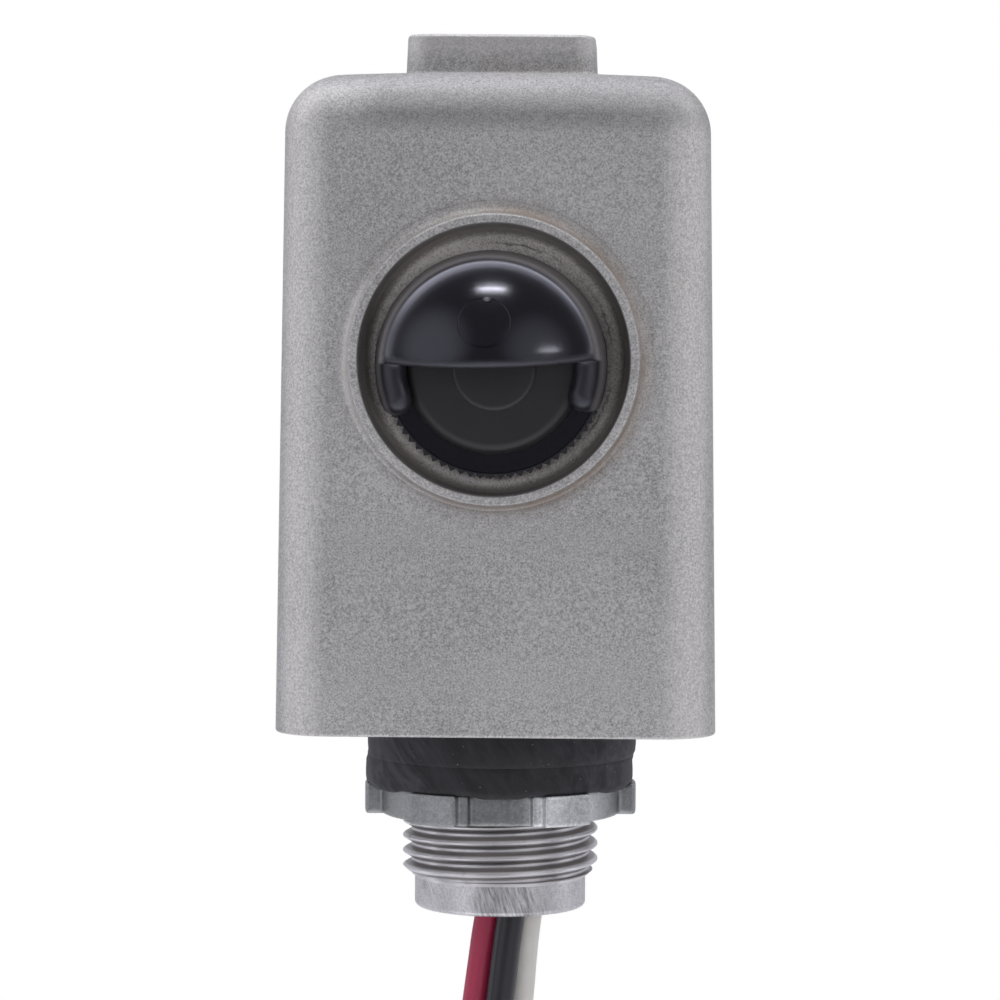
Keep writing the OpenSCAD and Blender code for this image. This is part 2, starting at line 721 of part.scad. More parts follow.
module bimetal_blade() {
    color("peru") difference() {
        translate([load_x - blade_w / 2, blade_y, blade_bottom]) cube([blade_w, blade_t, blade_top - blade_bottom]);
        along_y(load_x, blade_y - over, clamp_z)
            cylinder(r = clamp_rivet_r + flex_gap + slack, h = blade_t + 2 * over);
        along_y(load_x, blade_y - over, rivet_z) cylinder(r = contact_r / 2 + slack, h = blade_t + 2 * over);
    }
}

module moving_contact() {
    color("silver") {
        along_y(load_x, blade_y - contact_t, rivet_z) cylinder(r = contact_r, h = contact_t);
        along_y(load_x, blade_y - contact_t, rivet_z)
            cylinder(r = contact_r / 2, h = contact_t + blade_t + edge);
        along_y(load_x, blade_y + blade_t, rivet_z) cylinder(r = contact_r * 0.75, h = edge);
    }
}

module heater() {
    color("beige") translate([load_x, heater_y, heater_z]) {
        cylinder(r = heater_r, h = heater_len / 4);
        translate([0, 0, heater_len / 4]) cylinder(r = heater_r - slack, h = heater_len / 2);
        translate([0, 0, heater_len * 3 / 4]) cylinder(r = heater_r, h = heater_len / 4);
    }
}

// Each lead leaves the heater's end, bends and goes through the board
module heater_leads() {
    ends = [[heater_z - heater_lead, 1], [heater_z + heater_len + heater_lead, -1]];
    color("lightgray") for (e = ends) {
        translate([load_x, heater_y, e[1] > 0 ? e[0] : e[0] - heater_lead]) cylinder(r = wire_r, h = heater_lead);
        translate([load_x, heater_y, e[0]]) sphere(wire_r);
        along_y(load_x, board_t / 4, e[0]) cylinder(r = wire_r, h = heater_y - board_t / 4);
    }
}

// Cup on the board that carries the light cell behind the hub
module cell_holder() {
    holder_r = cell_r + slack + holder_wall;
    front = cell_y + cell_t - holder_lip;
    color("ivory") difference() {
        along_y(0, front, eye_z) cylinder(r = holder_r, h = -front);
        along_y(0, front - over, eye_z) cylinder(r = cell_r + slack, h = holder_lip + over);
        for (p = cell_lead_spots)
            along_y(p[0], front - over, p[1]) cylinder(r = wire_r + face_gap, h = over - front + over);
    }
}

module photocell() {
    color("firebrick") along_y(0, cell_y, eye_z) cylinder(r = cell_r, h = cell_t);
}

module cell_leads() {
    color("lightgray") for (p = cell_lead_spots)
        along_y(p[0], cell_y + cell_t, p[1]) cylinder(r = wire_r, h = board_back + edge - cell_y - cell_t);
}

// Leads

module red_lead() { color("#a83250") wire(red_route, lead_r); }
module black_lead() { color("#38383a") wire(black_route, lead_r); }
module white_lead() { color("#d8d6cf") wire(white_route, lead_r); }

module lead_conductors() {
    color("lightgray") for (route = [red_route, black_route, white_route])
        translate(route[len(route) - 1] - [0, 0, strip_len]) cylinder(r = conductor_r, h = strip_len, $fn = 24);
}

housing();
stem_base();
base_gasket();
base_screws();
stem_gasket();
lock_nut();
insulating_liner();
switch_board();
board_screws();
line_terminal();
load_terminal();
neutral_terminal();
terminal_rivets();
blade_bracket();
blade_clamp();
clamp_rivet();
fixed_contact();
heater();
heater_leads();
cell_holder();
photocell();
cell_leads();
hood_washer();
red_lead();
black_lead();
white_lead();
lead_conductors();
hood();
lens();
hood_clip();
bimetal_blade();
moving_contact();
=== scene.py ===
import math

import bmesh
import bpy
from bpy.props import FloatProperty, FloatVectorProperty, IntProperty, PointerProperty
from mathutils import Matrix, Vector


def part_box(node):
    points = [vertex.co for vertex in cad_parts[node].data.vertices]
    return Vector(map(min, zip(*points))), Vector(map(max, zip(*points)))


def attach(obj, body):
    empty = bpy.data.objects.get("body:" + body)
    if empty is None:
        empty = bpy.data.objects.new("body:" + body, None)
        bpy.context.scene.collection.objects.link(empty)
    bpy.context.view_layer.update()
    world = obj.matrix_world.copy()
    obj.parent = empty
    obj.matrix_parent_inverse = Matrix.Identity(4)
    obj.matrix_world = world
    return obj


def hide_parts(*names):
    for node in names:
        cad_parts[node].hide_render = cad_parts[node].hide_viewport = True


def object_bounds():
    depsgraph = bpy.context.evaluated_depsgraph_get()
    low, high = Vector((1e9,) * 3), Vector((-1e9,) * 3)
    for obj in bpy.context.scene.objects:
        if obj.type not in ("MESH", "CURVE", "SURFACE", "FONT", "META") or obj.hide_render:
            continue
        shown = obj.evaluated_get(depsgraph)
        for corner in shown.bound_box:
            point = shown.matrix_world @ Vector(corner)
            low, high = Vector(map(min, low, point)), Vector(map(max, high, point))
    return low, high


bl_info = {
    "name": "Photocell Switch",
    "version": (1, 0, 0),
    "blender": (4, 5, 0),
    "location": "3D View > Sidebar > Photocell",
    "description": "Dresses an outdoor photocell switch: cast housing, light hood, threaded stem and leads",
    "category": "Object",
}

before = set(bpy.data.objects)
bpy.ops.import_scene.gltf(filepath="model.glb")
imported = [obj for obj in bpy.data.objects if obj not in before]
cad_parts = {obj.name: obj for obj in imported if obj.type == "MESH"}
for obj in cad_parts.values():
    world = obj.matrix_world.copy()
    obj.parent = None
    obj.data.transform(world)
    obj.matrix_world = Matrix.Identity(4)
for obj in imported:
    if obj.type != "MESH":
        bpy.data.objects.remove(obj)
cad_box = [list(corner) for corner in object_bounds()]

MM = 0.001
FULL_TURN = 2 * math.pi

# Places taken from the frame
housing_low, housing_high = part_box("housing")
hood_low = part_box("hood")[0]
lens_low, lens_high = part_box("lens")
stem_low, stem_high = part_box("stem_base")
gasket_low, gasket_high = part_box("stem_gasket")
nut_low, nut_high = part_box("lock_nut")

HOUSING_W = housing_high.x - housing_low.x
HOUSING_D = 2 * housing_high.y
SEAT_Z = housing_low.z
EYE_Z = (lens_low.z + lens_high.z) / 2
NOSE_END_Z = stem_low.z

# Routes of the three leads, from their terminals down through the stem, in millimetres: the heights of
# their points, which they share, and the places of the points across
LEAD_HEIGHTS = (
    20, 16.5, 12.5, 8, 3, -3, -9, -14, -20, -27, -35, -43, -52, -61, -70, -79, -88, -97, -106, -115, -124,
    -132, -140, -149)
RED_PATH = (
    (-5.2, -2.4), (-5.2, -2.4), (-4.8, -2.1), (-4, -1.4), (-3, -0.5), (-2.1, 0.2), (-1.6, 0.5),
    (-2.2, 0.6), (-3, 0.7), (-3.9, 0.9), (-4.6, 1), (-5.1, 1.1), (-5.5, 1.1), (-5.7, 1), (-5.8, 0.9),
    (-5.8, 0.8), (-5.7, 0.7), (-5.5, 0.6), (-5.3, 0.6), (-5.1, 0.6), (-4.9, 0.7), (-4.8, 0.8),
    (-4.8, 0.8), (-4.8, 0.8))
BLACK_PATH = (
    (0.5, -2.4), (0.5, -2.4), (0.6, -2.3), (0.7, -2.1), (0.8, -1.8), (0.9, -1.5), (0.9, -1.4),
    (0.3, -1.5), (-0.4, -1.6), (-1.1, -1.8), (-1.6, -2), (-1.9, -2.2), (-2.1, -2.4), (-2.2, -2.5),
    (-2.2, -2.6), (-2.1, -2.7), (-2, -2.8), (-1.8, -2.8), (-1.6, -2.8), (-1.5, -2.7), (-1.4, -2.6),
    (-1.4, -2.5), (-1.4, -2.5), (-1.4, -2.5))
WHITE_PATH = (
    (5.6, -2.4), (5.6, -2.4), (5.2, -2), (4.5, -1.1), (3.7, 0), (3, 0.8), (2.7, 1.1), (2.15, 1.2),
    (1.65, 1.3), (0.95, 1.6), (0.3, 1.9), (0.1, 2.2), (0, 2.5), (0.1, 2.7), (0.3, 2.8), (0.5, 2.8),
    (0.7, 2.7), (0.9, 2.6), (1.1, 2.5), (1.3, 2.4), (1.4, 2.3), (1.5, 2.2), (1.5, 2.2), (1.5, 2.2))
LEAD_SHIFT = 0.5 * MM

# Shared by several pieces: turn of the nut's first lug in degrees, radius of a base screw's head, and how
# near two heights are taken as the same
FIRST_LUG = -57.5
SCREW_HEAD_R = 2.88 * MM
NEAR = 0.1 * MM


def length(name, millimetres, description):
    """A length property with its default in millimetres."""
    return FloatProperty(name=name, description=description, default=millimetres * MM, unit="LENGTH",
                         precision=5)


def angle(name, degrees, description):
    """An angle property with its default in degrees."""
    return FloatProperty(name=name, description=description, default=math.radians(degrees), subtype="ANGLE")


def colour(name, default, description):
    """A linear colour property."""
    return FloatVectorProperty(name=name, description=description, default=default, subtype="COLOR",
                               min=0, max=1)


def number(name, default, description):
    """A plain number property."""
    return FloatProperty(name=name, description=description, default=default, min=0)


class PhotocellHousingSizes(bpy.types.PropertyGroup):
    """Sizes of the cast housing and its eye recess"""

    edge_r: length("Edge radius", 5.8, "Radius of the housing's rounded edges")
    draft: angle("Draft", 0.76, "Draft of the housing's sides")
    wall: length("Wall", 2.2, "Thickness of the housing's walls")
    skirt_lip: length("Skirt lip", 1.2, "Thickness of the lip round the base plate")
    crown: length("Crown", 0.15, "Rise of the middle of the housing's top")
    arch: length("Top arch", 0.40, "Rise of the middle of the housing's top edges")
    arch_reach: length("Arch reach", 17.5, "Reach of the arch to each side of the middle")
    top_fall: length("Top fall", 0.25, "How much lower the right side of the housing's top is")
    boss_w: length("Boss width", 20.15, "Width of the wrench boss")
    boss_d: length("Boss depth", 13, "Depth of the wrench boss")
    boss_h: length("Boss height", 4.5, "Height of the wrench boss")
    boss_draft: angle("Boss draft", 2, "Draft of the wrench boss")
    boss_corner_r: length("Boss corner", 2.4, "Corner radius of the wrench boss")
    recess_r: length("Recess radius", 13.82, "Radius of the recess at its mouth")
    recess_floor_r: length("Recess floor radius", 13.29, "Radius of the recess at its floor")
    recess_depth: length("Recess depth", 5, "Depth of the recess below the rim's face")
    floor_t: length("Floor thickness", 2, "Thickness of the recess floor")
    rim_h: length("Rim height", 1.3, "Height of the raised rim above the front face")
    rim_flat: length("Rim flat", 1.0, "Width of the flat on the raised rim")
    rim_flank: length("Rim flank", 0.9, "Width of the sloped flank outside the rim")


class PhotocellHoodSizes(bpy.types.PropertyGroup):
    """Sizes of the light hood and its lens"""

    turn: angle("Hood turn", 1.1, "How far the hood is turned in the photograph")
    face_above_flange: length("Face above flange", 2, "Height of the housing's face above the flange")
    visor_r: length("Visor radius", 11.9, "Outer radius of the visor and its arms, at the flange")
    visor_reach: length("Visor reach", 9, "Reach of the visor in front of the flange")
    visor_wall: length("Visor wall", 1.9, "Wall of the visor")
    drop: length("Hood drop", 0.5, "How far the hood's front hangs below the axis of its hub")
    slip: length("Hood slip", 0.15, "How far the hood's front stands to the left of the axis of its hub")
    visor_shift: length("Visor shift", 0.27, "How far the visor and its arms stand to the left on the flange")
    visor_draft: length("Visor draft", 0.62, "How much narrower the visor is at its shoulder")
    shoulder_r: length("Shoulder radius", 2.8, "Radius of the visor's shoulder")
    dome_r: length("Dome radius", 15, "Radius of the visor's domed face")
    lip_offset: length("Lip height", 0.95, "Height of the lip above the eye's axis, at the flange")
    lip_tilt: angle("Lip fall", 8.5, "Fall of the lip towards the front")
    visor_squash: number("Visor flattening", 0.989, "Height of the visor's outline")
    arm_w: length("Arm width", 2.95, "Width of the two arms below the visor")
    arm_h: length("Arm height", 3.2, "Height of the arms above the flange")
    arm_angle: angle("Arm angle", 20, "Angle that the arms reach below the visor")
    tooth_tip_r: length("Tooth tip radius", 11.72, "Radius over the thumb teeth")
    tooth_depth: length("Tooth depth", 0.5, "Depth of the thumb teeth")
    tooth_count: IntProperty(name="Teeth", description="Number of thumb teeth", default=70, min=24)
    flange_t: length("Flange thickness", 1.6, "Thickness of the flange")
    hub_r: length("Hub radius", 7.5, "Radius of the hub in the recess floor")
    hub_wall: length("Hub wall", 1.5, "Wall of the hub")
    hub_end: length("Hub end", 5.8, "Depth of the hub's end behind the flange's front")
    clip_depth: length("Clip depth", 4.4, "Depth of the clip groove's front side behind the flange's front")
    clip_t: length("Clip thickness", 0.9, "Width of the clip groove")
    lens_r: length("Lens radius", 9.15, "Radius of the lens")
    lens_back: length("Lens seat", 0.8, "Depth of the lens seat")
    lens_t: length("Lens thickness", 2.4, "Thickness of the lens")
    lens_edge: length("Lens edge", 1.2, "Width of the lens's rounded edge")
    mark_r: length("Mould mark radius", 2.6, "Radius of the mould mark on the visor")


class PhotocellStemSizes(bpy.types.PropertyGroup):
    """Sizes of the stem, its gasket and its lock nut"""

    thread_r: length("Thread radius", 10.5, "Outside radius of the thread")
    thread_pitch: length("Thread pitch", 1.64, "Rise of the thread in one turn")
    thread_depth: length("Thread depth", 0.95, "Depth of the thread")
    thread_end: length("Thread end", -6.3, "Height of the thread's lower end")
    thread_chamfer: length("Thread chamfer", 0.95, "Lead-in at the thread's lower end")
    nose_r: length("Nose radius", 9.2, "Radius of the plain nose below the thread")
    bore_r: length("Bore radius", 7.4, "Radius of the wire passage")
    plate_t: length("Plate thickness", 3, "Thickness of the base plate")
    gasket_r: length("Gasket radius", 14.4, "Radius of the rubber gasket")
    mould_shift: length("Mould shift", 0.13, "Sideways shift between the gasket's two mould halves")
    nut_r: length("Nut radius", 14.6, "Radius over the lock nut's lugs")
    nut_notch: length("Nut notch", 1.7, "Depth of the notches between the lugs")
    nut_lugs: IntProperty(name="Nut lugs", description="Number of lugs on the lock nut", default=6, min=3)
    lead_d: length("Lead diameter", 3, "Outside diameter of a lead")
    conductor_d: length("Conductor diameter", 1.3, "Diameter of a stripped conductor")
    strip: length("Stripped length", 10, "Length of bare conductor at a lead's end")


class PhotocellView(bpy.types.PropertyGroup):
    """Camera and light"""

    distance: length("Camera distance", 344.5, "Distance of the camera from the stem's axis")
    height: length("Camera height", 46.6, "Height of the camera")
    azimuth: angle("Azimuth", 2.513, "Turn of the camera to the object's right")
    pitch: angle("Pitch", 2.115, "How far the camera looks down")
    roll: angle("Roll", -0.235, "Roll of the camera")
    yaw: angle("Yaw", 0.038, "How far the camera looks to the left of the stem's axis")
    focal: number("Focal length", 3.2024, "In image widths")
    surround: number("Surround", 0.16, "Light from the studio all round")
    rear: number("Rear light", 0.4, "More light from behind the object")
    arch: number("Arch light", 4.9, "Light of the arch over the object")


class PhotocellColours(bpy.types.PropertyGroup):
    """Colours of the visible finishes"""

    zinc: colour("Zinc", (0.68, 0.67, 0.66), "Cast zinc")
    zinc_dark: colour("Zinc grain", (0.315, 0.313, 0.308), "Dark grains of the cast zinc")
    stain: colour("Stain", (0.30, 0.235, 0.18), "Brown stain round the rim")
    recess: colour("Recess", (0.78, 0.735, 0.695), "Dull metal in the recess")
    stem: colour("Stem", (0.78, 0.77, 0.78), "Turned zinc of the stem")
    nut: colour("Nut", (0.335, 0.34, 0.342), "Cast zinc of the lock nut")
    gasket: colour("Gasket", (0.011, 0.011, 0.0135), "Black rubber")
    hood: colour("Hood", (0.0055, 0.0052, 0.0068), "Black plastic of the hood")
    lens: colour("Lens", (0.022, 0.0213, 0.0225), "Smoke-grey plastic of the lens")
    red: colour("Red", (0.46, 0.030, 0.085), "Red insulation")
    black: colour("Black", (0.021, 0.0215, 0.026), "Black insulation")
    white: colour("White", (0.76, 0.735, 0.68), "White insulation")


# Modelling by operators


def begin():
    """Leaves edit mode and deselects everything."""
    if bpy.context.mode != "OBJECT":
        bpy.ops.object.mode_set(mode="OBJECT")
    bpy.ops.object.select_all(action="DESELECT")


def activate(obj):
    """Makes obj the only selected object."""
    begin()
    obj.select_set(True)
    bpy.context.view_layer.objects.active = obj


def edit(obj):
    """Opens obj in edit mode."""
    activate(obj)
    bpy.ops.object.mode_set(mode="EDIT")


def close(name):
    """Leaves edit mode and names the new piece."""
    bpy.ops.object.mode_set(mode="OBJECT")
    obj = bpy.context.object
    obj.name = name
    obj.data.name = name
    return obj


def select_all():
    """Selects the whole of the open mesh."""
    bpy.ops.mesh.select_all(action="SELECT")


def pick(obj, kind, test):
    """Selects the vertices, edges or faces of obj that pass the test."""
    bpy.ops.mesh.select_mode(type=kind)
    bpy.ops.mesh.select_all(action="DESELECT")
    mesh = bmesh.from_edit_mesh(obj.data)
    items = {"VERT": mesh.verts, "EDGE": mesh.edges, "FACE": mesh.faces}[kind]
    for item in items:
        if test(item):
            item.select_set(True)
    bmesh.update_edit_mesh(obj.data)


def place(obj, matrix):
    """Moves obj by a matrix and leaves that place in its mesh."""
    activate(obj)
    obj.matrix_world = matrix
    bpy.ops.object.transform_apply(location=True, rotation=True, scale=True)
    return obj


def shift(obj, x, y, z=0):
    """Moves obj sideways, and upwards where z is given."""
    return place(obj, Matrix.Translation((x, y, z)))


def block(name, low, high):
    """A box between two corners."""
    begin()
    bpy.ops.mesh.primitive_cube_add(size=1, enter_editmode=True)
    bpy.ops.transform.resize(value=Vector(high) - Vector(low))
    bpy.ops.transform.translate(value=(Vector(high) + Vector(low)) / 2)
    return close(name)


def draw_chain(profile):
    """Opens a new mesh with a chain of (radius, height) points."""
    bpy.ops.mesh.primitive_plane_add(size=1, enter_editmode=True)
    bpy.ops.mesh.select_mode(type="VERT")
    select_all()
    bpy.ops.mesh.merge(type="CENTER")
    here = Vector((0, 0, 0))
    for index, (radius, height) in enumerate(profile):
        step = Vector((radius, 0, height)) - here
        if index == 0:
            bpy.ops.transform.translate(value=step)
        else:
            bpy.ops.mesh.extrude_vertices_move(TRANSFORM_OT_translate={"value": step})
        here += step


def lathe(name, profile, steps=128, turn=FULL_TURN):
    """Spins a chain of (radius, height) points about the vertical axis."""
    begin()
    draw_chain(profile)
    select_all()
    bpy.ops.mesh.spin(steps=steps, angle=turn, center=(0, 0, 0), axis=(0, 0, 1))
    tidy_mesh()
    return close(name)


def tidy_mesh():
    """Merges doubles and turns the faces outwards, in edit mode."""
    select_all()
    bpy.ops.mesh.remove_doubles(threshold=0.0005 * MM)
    bpy.ops.mesh.normals_make_consistent(inside=False)


def rod(name, radius, low, high, place_at=(0, 0), sides=64):
    """A round bar along the vertical axis, between two heights."""
    return shift(lathe(name, [(0, low), (radius, low), (radius, high), (0, high)], sides), *place_at)


def arc(centre, radius, start, end, steps):
    """Points of an arc, with its angles in degrees."""
    turns = [math.radians(start + (end - start) * i / steps) for i in range(steps + 1)]
    return [(centre[0] + radius * math.cos(a), centre[1] + radius * math.sin(a)) for a in turns]


def combine(target, tool, operation, solver="EXACT"):
    """Joins, cuts or trims target with tool, which is used up."""
    activate(target)
    change = target.modifiers.new("Combine", "BOOLEAN")
    change.operation = operation
    change.solver = solver
    change.object = tool
    change.material_mode = "TRANSFER"
    bpy.ops.object.modifier_apply(modifier=change.name)
    bpy.data.objects.remove(tool)
    return target


def apply_modifier(obj, kind, **settings):
    """Adds a modifier with its settings and applies it."""
    activate(obj)
    modifier = obj.modifiers.new(kind.title(), kind)
    for key, value in settings.items():
        setattr(modifier, key, value)
    bpy.ops.object.modifier_apply(modifier=modifier.name)


def shade(obj, degrees=32):
    """Shades obj smooth, with sharp edges kept and flat faces left flat."""
    activate(obj)
    bpy.ops.object.shade_smooth_by_angle(angle=math.radians(degrees))
    apply_modifier(obj, "WEIGHTED_NORMAL", keep_sharp=True)


def paint(obj, *materials):
    """Gives obj its materials."""
    obj.data.materials.clear()
    for material in materials:
        obj.data.materials.append(material)


def settle(obj, body, slot, *nodes):
    """Puts a finished piece on its body, in place of its nodes."""
    begin()
    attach(obj, body)
    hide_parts(*nodes)
    return obj


def polar(point):
    """Radius and angle in degrees of a point about the vertical axis."""
    return math.hypot(point.x, point.y), math.degrees(math.atan2(point.y, point.x))


def turned_by(a, b):
    """Smallest turn in degrees between two angles."""
    return abs((a - b + 180) % 360 - 180)


def rise(height):
    """Moves what is selected upwards."""
    bpy.ops.transform.translate(value=(0, 0, height))


def pull(height, falloff, reach):
    """Moves what is selected upwards, and what lies within reach along with it."""
    bpy.ops.transform.translate(value=(0, 0, height), use_proportional_edit=True,
                                proportional_edit_falloff=falloff, proportional_size=reach)


def extrude(height):
    """Extrudes what is selected upwards."""
    bpy.ops.mesh.extrude_region_move(TRANSFORM_OT_translate={"value": (0, 0, height)})


def slice_open(point, normal, **options):
    """Cuts the whole of the open mesh along a plane."""
    select_all()
    bpy.ops.mesh.bisect(plane_co=point, plane_no=normal, threshold=0.0001 * MM, **options)


def round_uprights(obj, radius):
    """Rounds the upright edges of an open block."""
    pick(obj, "EDGE", lambda edge: abs(edge.verts[0].co.z - edge.verts[1].co.z) > 1 * MM)
    bpy.ops.mesh.bevel(offset=radius, segments=8, affect="EDGES")


def open_circle(vertices, radius, location=(0, 0, 0)):
    """Opens a new filled circle."""
    begin()
    bpy.ops.mesh.primitive_circle_add(vertices=vertices, radius=radius, fill_type="NGON", location=location,
                                      enter_editmode=True)
    return bpy.context.object


def shrink(obj, test, scale):
    """Draws the vertices of an open mesh that pass the test towards the vertical axis."""
    pick(obj, "VERT", test)
    bpy.ops.transform.resize(value=(scale, scale, 1), center_override=(0, 0, 0))


def thicken(name, low, high):
    """Makes an open outline into a prism between two heights, and names it."""
    select_all()
    rise(low)
    extrude(high - low)
    select_all()
    bpy.ops.mesh.normals_make_consistent(inside=False)
    return close(name)


# Materials


def sum_of(operation, swapped=False):
    """A method that adds a Math node for an operator."""
    def method(self, other):
        values = (other, self) if swapped else (self, other)
        return self.math(operation, *values)
    return method


class Signal:
    """A shader socket that takes part in sums, with a Math node for each."""

    def __init__(self, tree, socket):
        self.tree = tree
        self.socket = socket

    def math(self, operation, *values):
        node = self.tree.nodes.new("ShaderNodeMath")
        node.operation = operation
        for socket, value in zip(node.inputs, values):
            join(self.tree, socket, value)
        return Signal(self.tree, node.outputs[0])

    __add__ = sum_of("ADD")
    __radd__ = sum_of("ADD", swapped=True)
    __sub__ = sum_of("SUBTRACT")
    __rsub__ = sum_of("SUBTRACT", swapped=True)
    __mul__ = sum_of("MULTIPLY")
    __rmul__ = sum_of("MULTIPLY", swapped=True)
    __truediv__ = sum_of("DIVIDE")
    __pow__ = sum_of("POWER")
    __gt__ = sum_of("GREATER_THAN")
    __lt__ = sum_of("LESS_THAN")

    def sine(self):
        return self.math("SINE", self)

    def size(self):
        return self.math("ABSOLUTE", self)


def join(tree, socket, value):
    """Sets a socket to a number or colour, or links it."""
    if isinstance(value, Signal):
        tree.links.new(value.socket, socket)
    elif hasattr(value, "__len__") and len(value) == 3 and len(getattr(socket, "default_value", ())) == 4:
        socket.default_value = (*value, 1)
    else:
        socket.default_value = value


class Nodes:
    """A node tree that is being filled."""

    def __init__(self, owner, coordinates):
        owner.use_nodes = True
        self.tree = owner.node_tree
        self.tree.nodes.clear()
        self.point = self.node("TexCoord", out=coordinates)

    def node(self, kind, settings=None, sockets=None, out=0):
        """Adds a node with its settings and sockets, and gives one of its outputs."""
        node = self.tree.nodes.new("ShaderNode" + kind)
        for key, value in (settings or {}).items():
            setattr(node, key, value)
        for key, value in (sockets or {}).items():
            join(self.tree, node.inputs[key], value)
        return Signal(self.tree, node.outputs[out])

    def axes(self):
        """The three coordinates of a point."""
        outputs = self.node("SeparateXYZ", sockets={"Vector": self.point}).socket.node.outputs
        return [Signal(self.tree, socket) for socket in outputs]

    def between(self, value, low, high):
        """A value sent to 0 at the low limit and 1 at the high one, smoothly."""
        sockets = {"Value": value, "From Min": low, "From Max": high}
        return self.node("MapRange", {"interpolation_type": "SMOOTHSTEP"}, sockets)


class Finish(Nodes):
    """A material that is being made."""

    def __init__(self, name, **constants):
        self.material = bpy.data.materials.new(name)
        super().__init__(self.material, "Object")
        self.shader = self.tree.nodes.new("ShaderNodeBsdfPrincipled")
        output = self.tree.nodes.new("ShaderNodeOutputMaterial")
        self.tree.links.new(self.shader.outputs[0], output.inputs[0])
        self.set(**constants)

    def set(self, **values):
        """Sets or links the shader's sockets, named with underscores for spaces."""
        for key, value in values.items():
            join(self.tree, self.shader.inputs[key.replace("_", " ")], value)

    def moved(self, rotation=(0, 0, 0), scale=(1, 1, 1)):
        """Object coordinates, turned and then stretched."""
        turned = self.node("Mapping", sockets={"Vector": self.point, "Rotation": rotation})
        return self.node("Mapping", sockets={"Vector": turned, "Scale": scale})

    def noise(self, per_mm, detail=2, rough=0.5, point=None, distortion=0):
        """Noise with that many waves in a millimetre."""
        sockets = {"Vector": point or self.point, "Scale": per_mm / MM, "Detail": detail, "Roughness": rough,
                   "Distortion": distortion}
        return self.node("TexNoise", sockets=sockets)

    def cells(self, per_mm, out="Distance"):
        """Voronoi cells with that many in a millimetre."""
        return self.node("TexVoronoi", sockets={"Vector": self.point, "Scale": per_mm / MM}, out=out)

    def ramp(self, value, *stops):
        """A value sent through (position, brightness) stops."""
        result = self.node("ValToRGB", sockets={"Fac": value})
        elements = result.socket.node.color_ramp.elements
        for _ in stops[2:]:
            elements.new(0.5)
        for element, (position, grey) in zip(elements, stops):
            element.position = position
            element.color = (grey, grey, grey, 1)
        return result

    def up(self, value, low, high, most=1):
        """0 at the low limit, rising to most at the high one."""
        return self.ramp(value, (low, 0), (high, most))

    def down(self, value, low, high):
        """1 at the low limit, falling to 0 at the high one."""
        return self.ramp(value, (low, 1), (high, 0))

    def dust(self, per_mm, speck, cloud, limits):
        """Round specks that gather in clouds."""
        return self.down(self.cells(per_mm), *speck) * self.up(self.noise(*cloud), *limits)

    def mix(self, factor, first, second, blend="MIX"):
        """Two colours mixed."""
        choices = {"data_type": "RGBA", "blend_type": blend, "clamp_factor": True}
        return self.node("Mix", choices, {0: factor, 6: first, 7: second}, 2)

    def coats(self, body, *coats):
        """A colour with others laid over it, each as (factor, colour)."""
        for factor, tint in coats:
            body = self.mix(factor, body, tint)
        return body

    def made(self, tint, rough, height, strength, depth):
        """The material, with its colour, its roughness and its relief, whose depth is in millimetres."""
        relief = {"Height": height, "Strength": strength, "Distance": depth * MM}
        self.set(Base_Color=tint, Roughness=rough, Normal=self.node("Bump", sockets=relief))
        return self.material


def span(value, low, high):
    """How far a value lies between two limits, unclamped."""
    return (value - low) * (1 / (high - low))


def distance(a, b):
    """Distance of a point from an axis, in millimetres."""
    return (a * a + b * b) ** 0.5 * (1 / MM)


def scaled(tint, share):
    """A colour made brighter or darker."""
    return tuple(share * part for part in tint)


def zinc_grain(finish):
    """Fine grain of a tumbled casting: a value about 0.5."""
    fine = finish.noise(5.2, 2, 0.7)
    coarse = finish.noise(1.6, 2, 0.5)
    return fine * 0.8 + coarse * 0.2


